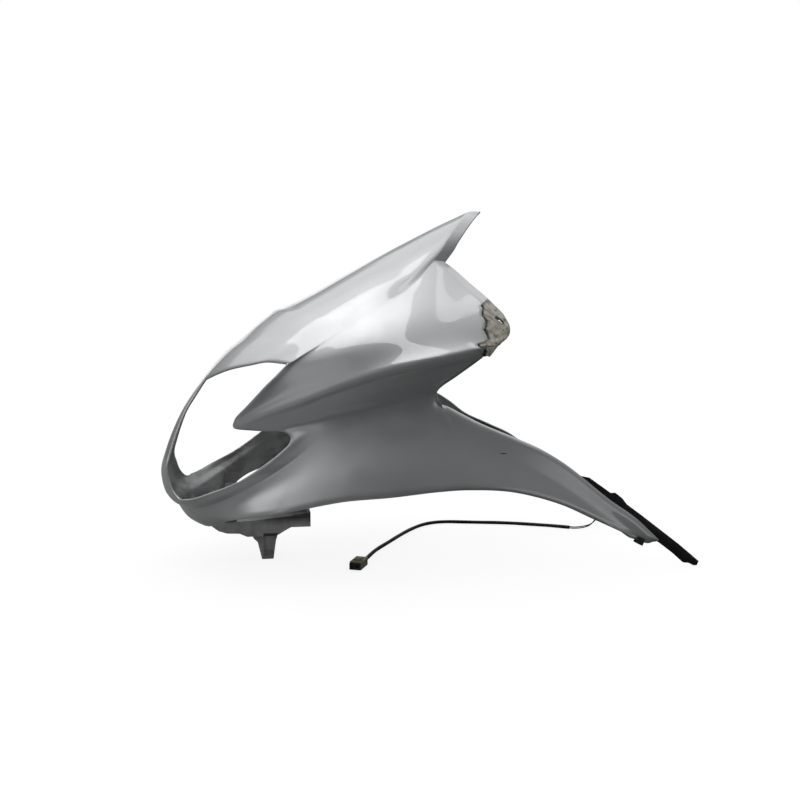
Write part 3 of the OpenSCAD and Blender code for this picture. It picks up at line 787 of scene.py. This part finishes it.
def plastic_nodes(name, colour, rough, dust, dust_share, grain=900, depth=0.10):
    """Moulded plastic with fine grain, handling marks and a veil of dust."""
    m = Nodes(name)
    veil = m.ramp(m.noise(28, 5, 0.65), 0.38, 0.68, 0.0, dust_share)
    fine = m.ramp(m.noise(520, 3, 0.7), 0.6, 0.7, 0.0, dust_share)
    m.link(m.mix(m.most(veil, fine), colour, dust), m.base)
    m.roughness(m.noise(75, 3), 0.3, 0.7, rough - 0.07, rough + 0.09)
    m.bump(m.noise(grain, 2), depth, 0.0003)
    return m


def plain_plastic(*finish):
    """The material of a plain moulded piece."""
    return plastic_nodes(*finish).material


def bracket_plastic(colour):
    """The bracket's grey plastic with painted shade: dark in a band under the shell, where the shell's
    shadow falls, and in a groove above the tab's face; and a darker rim round that face."""
    m = plastic_nodes("grey_plastic", colour, 0.5, (0.20, 0.19, 0.18), 0.6, 500, 0.2)
    x, _, z = m.axes(m.place)
    # painted shade: the grey goes dark towards the top, under the shell, as if in the shell's shadow
    painted_shade = m.times(m.ramp(z, *PAINTED_SHADE_Z), m.ramp(x, *PAINTED_SHADE_X))
    # painted shade: a dark groove above the tab's face; the rim round that face is darker too
    groove_shade = m.between(z, GROOVE_Z, 0.0015)
    face = m.times(m.between(x, TAB_FACE_X, 0.002), m.ramp(z, 0.012, 0.014))
    rim = m.times(m.ramp(z, 0.044, 0.046, 1.0, 0.0), m.math("SUBTRACT", 1.0, face))
    groove_shade_and_rim = m.times(m.between(x, TAB_X, 0.002), m.most(groove_shade, m.times(rim, 0.35)))
    dusty = m.base.links[0].from_socket
    # the painted shade and the darker rim go into the colour here
    m.link(m.mix(m.times(m.most(painted_shade, groove_shade_and_rim), 0.88), dusty, (0.03, 0.03, 0.032)), m.base)
    return m.material


def plated_steel():
    """Zinc plated screws, a little dull."""
    m = Nodes("plated_steel")
    tarnish = m.ramp(m.noise(420, 4, 0.7), 0.45, 0.65)
    m.link(m.mix(tarnish, (0.50, 0.49, 0.46), (0.28, 0.27, 0.25)), m.base)
    m.set(Metallic=1.0, Roughness=0.33)
    m.bump(m.noise(1400, 2), 0.08, 0.0002)
    return m.material


def nylon_shell(colour):
    """Yellowed, slightly clear nylon with grime."""
    m = Nodes("natural_nylon")
    grime = m.ramp(m.noise(170, 5, 0.7), 0.42, 0.62)
    base = m.mix(grime, (0.30, 0.29, 0.19), colour)
    black = m.ramp(m.noise(260, 4, 0.7), 0.6, 0.7)
    m.link(m.mix(m.times(black, 0.8), base, (0.03, 0.028, 0.02)), m.base)
    m.set(Roughness=0.42, Subsurface_Weight=0.25, Subsurface_Scale=0.003)
    m.bump(m.noise(900, 3), 0.1, 0.0003)
    return m.material


def floor_white():
    """White to the camera with a soft shadow, and to mirrors where it lies behind the object. To
    the rest a plain grey floor, darker in mirrors but for its left side and the part under the
    object's front."""
    m = Nodes("floor_white")
    m.set(Roughness=0.9, Specular_IOR_Level=0.0)
    pale = m.add("ShaderNodeBsdfDiffuse")
    pale.inputs["Color"].default_value = (0.35, 0.35, 0.35, 1)
    glow = m.add("ShaderNodeEmission")
    glow.inputs["Color"].default_value = (1, 1, 1, 1)
    glow.inputs["Strength"].default_value = 0.86
    white = m.add("ShaderNodeAddShader")
    m.link(pale.outputs["BSDF"], white.inputs[0])
    m.link(glow.outputs["Emission"], white.inputs[1])
    seen = m.add("ShaderNodeLightPath").outputs
    x, y, _ = m.axes(m.place)
    aside = m.math("DIVIDE", m.math("ABSOLUTE", x), m.most(y, 0.1))
    behind = m.times(m.ramp(y, 0.8, 1.6), m.ramp(aside, 0.25, 0.4, 1.0, 0.0))
    view = m.most(m.most(seen["Is Camera Ray"], seen["Is Transmission Ray"]),
                  m.times(seen["Is Glossy Ray"], behind))
    under = m.times(m.ramp(x, -0.12, 0.06, 1.0, 0.0), m.ramp(y, -0.5, -0.35))
    lighter = m.most(m.ramp(x, -1.0, -0.4, 1.0, 0.0), under)
    mirrored = m.mix(lighter, (0.05, 0.05, 0.05), (0.45, 0.45, 0.45))
    m.link(m.mix(seen["Is Diffuse Ray"], mirrored, (0.22, 0.22, 0.22)), m.base)
    floor = m.either(view, m.shader.outputs["BSDF"], white.outputs["Shader"])
    m.link(floor, m.tree.nodes["Material Output"].inputs["Surface"])
    return m.material


def cad_copy(name, node, material, edge, shape=None):
    """A merged copy of a CAD node's mesh with rounded edges, standing for the node. A shape
    function may first set its points anew."""
    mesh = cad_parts[node].data.copy()
    mesh.name = name
    if shape:
        p = np.zeros(len(mesh.vertices) * 3)
        mesh.vertices.foreach_get("co", p)
        mesh.vertices.foreach_set("co", shape(p.reshape(-1, 3)).ravel())
    bm = bmesh.new()
    bm.from_mesh(mesh)
    bmesh.ops.remove_doubles(bm, verts=bm.verts, dist=1e-6)
    bmesh.ops.dissolve_limit(bm, angle_limit=math.radians(1.0), verts=bm.verts, edges=bm.edges)
    bm.to_mesh(mesh)
    bm.free()
    mesh.materials.clear()
    mesh.materials.append(material)
    mesh.polygons.foreach_set("material_index", np.zeros(len(mesh.polygons), dtype=np.int32))
    mesh.polygons.foreach_set("use_smooth", np.full(len(mesh.polygons), True))
    obj = bpy.data.objects.new(name, mesh)
    bpy.context.scene.collection.objects.link(obj)
    bevel = obj.modifiers.new("rounded", "BEVEL")
    bevel.width, bevel.segments, bevel.limit_method = edge, 3, "ANGLE"
    bevel.angle_limit = math.radians(35)
    bevel.use_clamp_overlap = True
    bevel.harden_normals = True
    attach(obj, BODY)
    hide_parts(node)
    return obj


def tube(name, path, radius, sides, material):
    """A round tube along a path in metres: each ring stands square to the path and is turned as
    little as it can be from the last one."""
    p = np.array(path, float)
    way = unit(np.gradient(p, axis=0))
    side = np.cross(way, (0.0, 0.0, 1.0))
    side = unit(np.where(np.linalg.norm(side, axis=1, keepdims=True) < 0.2, np.cross(way, (1.0, 0, 0)), side))
    up = np.cross(side, way)
    turn = np.linspace(0, 2 * np.pi, sides, endpoint=False)
    r = np.broadcast_to(radius, len(p))[:, None, None]
    rings = p[:, None] + r * (np.cos(turn)[None, :, None] * side[:, None]
                              + np.sin(turn)[None, :, None] * up[:, None])
    count = rings.shape[0] * sides
    points = np.concatenate([rings.reshape(-1, 3), p[:1], p[-1:]])
    i = np.arange(sides)
    first = np.stack([i, (i + 1) % sides, np.full(sides, count)], 1)
    last = np.stack([count - sides + (i + 1) % sides, count - sides + i, np.full(sides, count + 1)], 1)
    sheet = grid_faces(len(p), sides, True)
    caps = [(first[:, ::-1], 0), (last[:, ::-1], 0)]
    return mesh_object(name, points, [(sheet[:, ::-1], 0)] + caps, [material])


def screw_points(head_d, head_h, length, shank_d, sides=48):
    """Pan head with a cross recess on a plain shank, along +Z from the head's top at 0: a profile
    turned round the axis, pushed in near the top where the cross is."""
    r = np.array([0, 0.12, 0.25, 0.38, 0.5, 0.68, 0.86, 0.97, 1.0]) * head_d / 2
    z = -head_h * 0.45 * (r / (head_d / 2)) ** 4
    turn = np.linspace(0, 2 * np.pi, sides, endpoint=False)
    across = np.minimum(np.abs(np.sin(turn)), np.abs(np.cos(turn)))[None, :] * r[:, None]
    slot = (across < 0.075 * head_d) & (r[:, None] < 0.27 * head_d)
    depth = np.where(slot, head_h * 0.6, 0)
    top = np.stack([r[:, None] * np.cos(turn), r[:, None] * np.sin(turn), z[:, None] - depth], -1)
    rest_r = np.array([head_d / 2, head_d / 2 * 0.99, shank_d / 2, shank_d / 2, shank_d / 2 * 0.7, 0.00001])
    rest_z = -np.array([head_h * 0.9, head_h, head_h, length - 0.0008, length, length])
    low = np.stack([rest_r[:, None] * np.cos(turn), rest_r[:, None] * np.sin(turn),
                    np.broadcast_to(rest_z[:, None], (len(rest_z), sides))], -1)
    p = np.concatenate([top, low])
    return p.reshape(-1, 3), grid_faces(len(p), sides, True)


def screws(name, places, ways, sizes, material, node):
    """Like screws as one piece: places are the heads' tops, and ways are where they face."""
    p, f = screw_points(*sizes)
    points, parts = [], []
    for n, (place, way) in enumerate(zip(places, ways)):
        z = unit(np.array(way, float))
        x = unit(np.cross(z, (0.31, 0.17, 0.93)))
        turned = p[:, :1] * x + p[:, 1:2] * np.cross(z, x) + p[:, 2:3] * z
        points.append(turned + np.array(place))
        parts.append((f + n * len(p), 0))
    obj = mesh_object(name, np.concatenate(points), parts, [material])
    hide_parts(node)
    return obj


class Build(bpy.types.Operator):
    """Shared base of the operators."""
    bl_options = {"REGISTER", "UNDO"}

    @classmethod
    def poll(cls, context):
        return context.scene is not None


def flat(name, points, material):
    """A piece with one face."""
    mesh = bpy.data.meshes.new(name)
    mesh.from_pydata(points, [], [tuple(range(len(points)))])
    mesh.materials.append(material)
    obj = bpy.data.objects.new(name, mesh)
    bpy.context.scene.collection.objects.link(obj)
    return obj


def window_light(name, radiance):
    """An even glow."""
    glass = bpy.data.materials.new(name)
    glass.use_nodes = True
    light = glass.node_tree.nodes.new("ShaderNodeEmission")
    light.inputs["Strength"].default_value = radiance
    glass.node_tree.links.new(light.outputs[0], glass.node_tree.nodes["Material Output"].inputs["Surface"])
    return glass


class COWL_OT_stage(Build):
    """Camera, floor, surround and lights"""
    bl_idname = "cowl.stage"
    bl_label = "Stage"

    def execute(self, context):
        looks = context.scene.stage_looks
        context.scene.view_settings.view_transform = "Standard"
        camera = bpy.data.objects.new("camera", bpy.data.cameras.new("camera"))
        camera.data.lens, camera.data.sensor_width = looks.lens, 36.0
        camera.location = CAMERA_AT
        camera.rotation_euler = (math.radians(90 - CAMERA_DOWN), 0, math.radians(CAMERA_TURN))
        context.scene.collection.objects.link(camera)
        context.scene.camera = camera
        half = looks.floor / 2
        floor = flat("floor", [(-half, -half, 0), (half, -half, 0), (half, half, 0), (-half, half, 0)],
                     floor_white())
        floor.location.z = -FLOOR_DROP
        surround(context.scene, looks.sky)
        for name, (share, outline) in WINDOWS.items():
            window = flat(name, [(x, y, CEILING) for x, y in outline],
                          window_light(name + "_light", looks.window * share))
            window.visible_camera = False
            window.visible_diffuse = False
        return {"FINISHED"}


def room_light(w, way):
    """How bright the room is along a way: by height, dimmer on the camera's side and at the far
    right, with a little more on the side walls and round the two low lamps."""
    x, y, z = w.axes(way)
    height = w.add("ShaderNodeFloatCurve")
    points = height.mapping.curves[0].points
    for place, shade in ROOM_SHADES[1:-1]:
        points.new(place, shade)
    points[0].location, points[-1].location = ROOM_SHADES[0], ROOM_SHADES[-1]
    height.mapping.update()
    w.link(w.ramp(z, -1.0, 1.0), height.inputs["Value"])
    near = w.eased(y, -0.60, 0.15, 0.06, 1.20)
    right = w.eased(x, 0.60, 0.82, 1.0, 0.15)
    total = w.times(w.times(height.outputs["Value"], near), right)
    total = w.math("ADD", total, w.eased(w.math("ABSOLUTE", x), 0.5, 0.95, 0.0, 0.06))
    for lamp_way, radiance in LOW_LAMPS:
        lamp = w.add("ShaderNodeVectorMath", operation="DOT_PRODUCT")
        w.link(way, lamp.inputs[0])
        lamp.inputs[1].default_value = lamp_way
        total = w.math("ADD", total, w.eased(lamp.outputs["Value"], 0.92, 1.0, 0.0, radiance))
    return total


def surround(scene, strength):
    """White to the camera, and to mirrors that look at the backdrop. To other mirrors a soft room,
    and to matt surfaces an even fill that grows with height."""
    scene.world = bpy.data.worlds.new("surround")
    scene.world.use_nodes = True
    w = Tree(scene.world.node_tree)
    w.tree.nodes.clear()

    def glow(value, colour=(1, 1, 1, 1)):
        light = w.add("ShaderNodeBackground")
        light.inputs["Color"].default_value = colour
        w.put(value, light.inputs["Strength"])
        return light.outputs[0]

    way = w.add("ShaderNodeTexCoord").outputs["Generated"]
    _, y, z = w.axes(way)
    room = glow(w.times(room_light(w, way), strength), ROOM_COLOUR)
    even = w.times(w.eased(z, -1.0, 1.0, *FILL), w.eased(y, -1.0, 0.3, 0.85, 1.10))
    fill = glow(w.times(even, strength))
    seen = w.add("ShaderNodeLightPath").outputs
    backdrop = w.times(w.eased(y, 0.92, 0.98, 0.0, 1.0),
                       w.eased(w.math("ABSOLUTE", z), 0.12, 0.28, 1.0, 0.0))
    view = w.most(w.most(seen["Is Camera Ray"], seen["Is Transmission Ray"]),
                  w.times(seen["Is Glossy Ray"], backdrop))
    total = w.either(view, w.either(seen["Is Diffuse Ray"], room, fill), glow(1.0))
    w.link(total, w.add("ShaderNodeOutputWorld").inputs["Surface"])


class COWL_OT_lead(Build):
    """The loose lead: two wires, a sleeve and a connector"""
    bl_idname = "cowl.lead"
    bl_label = "Lead"

    def execute(self, context):
        looks, parts = context.scene.lead_looks, context.scene.part_looks
        cable = plain_plastic("cable_black", (0.014, 0.014, 0.015), 0.42, (0.03, 0.03, 0.03), 0.15)
        nylon = nylon_shell(looks.nylon)
        black = plain_plastic("connector_black", (0.010, 0.010, 0.010), 0.4, (0.05, 0.05, 0.05), 0.3)
        shell = cad_copy("connector_shell", "plug_shell", nylon, parts.edge)
        end = cad_copy("connector_end", "plug_retainer", black, parts.edge)
        run = placed(hermite([(x, y, SLEEVE_Z) for x, y in SLEEVE_PTS], 240))
        wrap = looks.sleeve_d / 2 * (1 + 0.012 * np.sin(np.arange(len(run)) * 1.9)
                                     + 0.02 * np.sin(np.arange(len(run)) * 0.23))
        sleeve = tube("lead_sleeve_tube", run, wrap, 24, cable)
        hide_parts("lead_sleeve")
        for name, node, side in (("wire_a", "lead_wire_a", 1), ("wire_b", "lead_wire_b", -1)):
            route = placed(hermite(np.array(WIRE_PTS) + side * np.array(WIRE_OFF), 60))[::-1]
            wire = tube(name, route, looks.wire_d / 2, 14, cable)
            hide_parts(node)
        return {"FINISHED"}


class COWL_OT_shell(Build):
    """The painted moulding with its rolled edge, rounded rims and bare inside"""
    bl_idname = "cowl.shell"
    bl_label = "Shell"

    def execute(self, context):
        looks = context.scene.shell_looks
        paint, inner = silver_paint(looks.paint), bare_inside(looks.inside)
        points, quads, thin, soft = merged_sheet(looks.cells, looks.roll_depth / MM)
        faces = [quads, thin]
        held = np.zeros(len(points), bool)
        held[np.unique(border_edges(faces))] = True
        points = rounded_corner(points, faces, OT, TAIL_ROUND, TAIL_TURNS)
        tail = np.minimum(*(np.linalg.norm(points - placed((OT[0], side * OT[1], OT[2])), axis=1)
                            for side in (-1, 1)))
        soft = np.where(tail < TAIL_REACH * MM, np.maximum(soft, TAIL_SOFT), soft)
        points = softened(points, faces, soft, held)
        points = shouldered(points, faces)
        body, sides = walled(points, faces, looks.wall, looks.rim_bulge)
        shell = mesh_object("cowl_shell_skin", body, sides, [paint, inner])
        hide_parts("cowl_shell")
        return {"FINISHED"}


def shouldered(p, faces):
    """Turns the surface in a little towards each free edge: a point nearer than the shoulder's
    reach drops by the square of how near it is."""
    n = point_normals(p, faces)
    rim = np.unique(border_edges(faces))
    x, _, z = (p[rim] / MM).T
    leg = (x > -8) & (z < 262 - 0.45 * x) & (z > leg_line(x) - 12)
    low = (z < 140) & ~leg
    groups = {"leg": leg, "low": low, "opening": (x < -150) & ~low,
              "under": (x > -8) & ~leg & ~low & (z > 252) & (z < 318)}
    p = p.copy()
    for name, (reach, drop) in SHOULDERS.items():
        near = np.clip(1 - distance_to(p, p[rim[groups[name]]]) / (reach * MM), 0, 1)[:, None]
        p -= n * near**2 * drop * MM
    return p


def leg_line(x):
    """Height of the leg's upper edge at x, in mm."""
    top = np.array(LEG_TOP, float)
    return np.interp(x, top[:, 0] + SHIFT_X, top[:, 2])


def laminate_sheet():
    """The bare corner as a grid just under the paint. Rows go down the near wing's rear end, and
    columns go from under the paint (0) to the rear edge (1) and round it (1.3). The sheet lies
    deeper under the paint, swells by sums of sines and dips along a ridge of cracks. Returns its
    points in guide mm, how dark each is from its cracks and from painted shade along the paint's
    edge and round the slot, and the quads round the slot."""
    grid, left = unbroken_wing(LAMINATE_CELLS)
    share = np.linspace(0, 1, len(left))
    first = share[np.argmax(left < 1)] - 0.006
    t, u = np.meshgrid(np.linspace(first, LAMINATE_END, LAMINATE_ROWS),
                       np.linspace(0, 1.3, LAMINATE_COLS), indexing="ij")
    kept = np.interp(t, share, left)
    start = np.minimum(kept, 0.975) - 0.035
    past_paint = start + u * (1 - start) - kept
    p = sample(grid, start + np.minimum(u, 1) * (1 - start), t)
    edge = sample(grid, np.ones(LAMINATE_ROWS), t[:, 0])
    past = np.clip((u - 1) / 0.3, 0, 1) * np.clip((0.5 - t) / 0.02, 0.05, 1)
    p = p + past[..., None] * (rolled(edge, LAMINATE_ROLL) - edge)[:, None]
    deep = 3.6 - 2.4 * np.clip(past_paint / 0.03, 0, 1)
    lumps = 0.6 * np.sin(u * 9 + 40 * t) * np.sin(t * 80 + 1.3) + 0.4 * np.sin(u * 23 - t * 120)
    ridge = np.clip(1.5 - np.abs(t - 0.5 - 0.006 * np.sin(u * 9)) / 0.0025, 0, 1) * (u > 0.12)
    p[..., 1] -= deep - lumps + 1.3 * ridge
    gap = np.clip(1.5 - np.abs(u - 0.34 - 3 * (t - 0.52)) / 0.06, 0, 1) * (t > 0.506)
    # painted shade: dark along the broken paint's edge, where the shell stands over the laminate
    painted_edge_shade = np.clip(1.6 - np.abs(past_paint - 0.004) / 0.006, 0, 1)
    x, z = p[..., 0] - SLOT_AT[0], p[..., 2] - SLOT_AT[1]
    along = x * SLOT_TILT[0] + z * SLOT_TILT[1]
    across = z * SLOT_TILT[0] - x * SLOT_TILT[1]
    on_wing = u < 1.1
    slot = (np.abs(along) < SLOT_HALF[0]) & (np.abs(across) < SLOT_HALF[1]) & on_wing
    # painted shade: a dark patch round the slot
    shade = (np.abs(along + 1) < SLOT_SHADE[0]) & (np.abs(across - 0.4) < SLOT_SHADE[1]) & on_wing
    crack_and_shade = np.maximum(np.maximum(ridge, gap), np.maximum(painted_edge_shade, shade))
    return p * np.array([1, -1, 1]), crack_and_shade, grid_faces(*u.shape)[~slot[:-1, :-1].ravel()]


class COWL_OT_corner(Build):
    """Bare laminate behind the near wing's broken corner"""
    bl_idname = "cowl.corner"
    bl_label = "Broken corner"

    def execute(self, context):
        looks = context.scene.part_looks
        p, crack_and_shade, faces = laminate_sheet()
        points = placed(p.reshape(-1, 3))
        obj = mesh_object("corner_laminate_skin", points, [(faces, 0)], [bare_laminate()])
        # cracks and painted shade, as one mark
        mark = obj.data.attributes.new("crack_and_shade", "FLOAT", "POINT")
        mark.data.foreach_set("value", crack_and_shade.ravel()[np.unique(faces)].astype(np.float32))
        wall = obj.modifiers.new("wall", "SOLIDIFY")
        wall.thickness = looks.laminate_wall
        wall.offset = -1.0 if faces_out(points, faces) else 1.0
        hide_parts("corner_laminate")
        return {"FINISHED"}


def faces_out(p, f):
    """True where a near-side sheet faces away from the middle."""
    return np.cross(p[f[:, 1]] - p[f[:, 0]], p[f[:, 2]] - p[f[:, 1]])[:, 1].sum() < 0


class COWL_OT_bracket(Build):
    """Grey bracket under the nose with its grommet and lamp clips"""
    bl_idname = "cowl.bracket"
    bl_label = "Nose bracket"

    def execute(self, context):
        looks = context.scene.part_looks
        grey = bracket_plastic(looks.grey)
        cad_copy("nose_bracket_moulding", "nose_bracket", grey, looks.edge * 3)
        rubber = plain_plastic("black_rubber", (0.02, 0.02, 0.02), 0.75, (0.07, 0.065, 0.06), 0.5)
        cad_copy("stay_grommet_ring", "stay_grommet", rubber, looks.edge)
        clip = plain_plastic("clip_plastic", (0.22, 0.22, 0.225), 0.5, (0.12, 0.115, 0.11), 0.6, 500, 0.2)
        for side in ("left", "right"):
            cad_copy(f"lamp_clip_{side}_strap", f"lamp_clip_{side}", clip, looks.edge * 0.7)
        return {"FINISHED"}


def trimmed_panel(p):
    """A panel's points with its upper front edge kept under the leg's, and its rear hole closed:
    the hole's points all go to its middle."""
    p = p.copy()
    x, z = p[:, 0] / MM, p[:, 2] / MM
    cap = leg_line(x) - PANEL_UNDER
    p[:, 2] = np.where((x < PANEL_FRONT) & (z > cap), cap, z) * MM
    hole = np.hypot(x - TAIL_HOLE[0], z - TAIL_HOLE[1]) < HOLE_REACH
    p[hole, 0], p[hole, 2] = TAIL_HOLE[0] * MM, TAIL_HOLE[1] * MM
    return p


class COWL_OT_panels(Build):
    """Black inner panels with their spacers, edge clips and the lead's block"""
    bl_idname = "cowl.panels"
    bl_label = "Inner panels"

    def execute(self, context):
        looks = context.scene.part_looks
        black = plain_plastic("black_plastic", looks.black, 0.38, (0.05, 0.05, 0.05), 0.4, 700, 0.15)
        for side in ("left", "right"):
            cad_copy(f"inner_panel_{side}", f"panel_{side}", black, looks.edge * 1.2, trimmed_panel)
        cad_copy("panel_spacers", "panel_bosses", black, looks.edge)
        cad_copy("lead_block", "lead_clip", black, looks.edge)
        steel = plain_plastic("black_steel", (0.03, 0.03, 0.03), 0.35, (0.10, 0.09, 0.08), 0.5)
        cad_copy("leg_edge_clips", "leg_clips", steel, looks.edge * 0.5)
        return {"FINISHED"}


class COWL_OT_fasteners(Build):
    """Cross-recessed screws in the panels and the bracket"""
    bl_idname = "cowl.fasteners"
    bl_label = "Screws"

    def execute(self, context):
        looks = context.scene.part_looks
        zinc = plated_steel()
        low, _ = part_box("panel_screws")
        top = PANEL_FACE * MM - looks.head_h
        spots = [(x, z, side) for x, z in PANEL_SCREWS for side in (-1, 1)]
        places = [((x + SHIFT_X) * MM, side * top, z * MM) for x, z, side in spots]
        ways = [(0, -side, 0) for _, _, side in spots]
        sizes = (looks.head_d, looks.head_h, -low[1] - top, SHANK_D * MM)
        screws("panel_screws_set", places, ways, sizes, zinc, "panel_screws")
        low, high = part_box("bracket_screws")
        places = [((low[0] + high[0]) / 2, side * BRACKET_SCREW_Y * MM, high[2]) for side in (-1, 1)]
        sizes = (looks.head_d - BRACKET_HEAD_LESS * MM, looks.head_h, high[2] - low[2], BRACKET_SHANK_D * MM)
        screws("bracket_screws_set", places, [(0, 0, 1)] * 2, sizes, zinc, "bracket_screws")
        return {"FINISHED"}


class COWL_PT_panel(bpy.types.Panel):
    """Lists the operators and their settings"""
    bl_label = "Headlight cowl"
    bl_idname = "COWL_PT_panel"
    bl_space_type = "VIEW_3D"
    bl_region_type = "UI"
    bl_category = "Cowl"

    def draw(self, context):
        for group in ("stage_looks", "lead_looks", "shell_looks", "part_looks"):
            box = self.layout.box()
            looks = getattr(context.scene, group)
            for name in type(looks).__annotations__:
                box.prop(looks, name)
        for operator in OPERATORS:
            self.layout.operator(operator.bl_idname)


GROUPS = {"shell_looks": ShellLooks, "part_looks": PartLooks, "lead_looks": LeadLooks,
          "stage_looks": StageLooks}
OPERATORS = (COWL_OT_stage, COWL_OT_lead, COWL_OT_shell, COWL_OT_corner, COWL_OT_bracket,
             COWL_OT_panels, COWL_OT_fasteners)


def register():
    for item in (*GROUPS.values(), *OPERATORS, COWL_PT_panel):
        bpy.utils.register_class(item)
    for name, group in GROUPS.items():
        setattr(bpy.types.Scene, name, PointerProperty(type=group))


def unregister():
    for name in GROUPS:
        delattr(bpy.types.Scene, name)
    for item in (COWL_PT_panel, *reversed(OPERATORS), *reversed(GROUPS.values())):
        bpy.utils.unregister_class(item)


def main():
    register()
    bpy.ops.cowl.stage()
    bpy.ops.cowl.lead()
    bpy.ops.cowl.shell()
    bpy.ops.cowl.corner()
    bpy.ops.cowl.bracket()
    bpy.ops.cowl.panels()
    bpy.ops.cowl.fasteners()


if __name__ == "__main__":
    main()
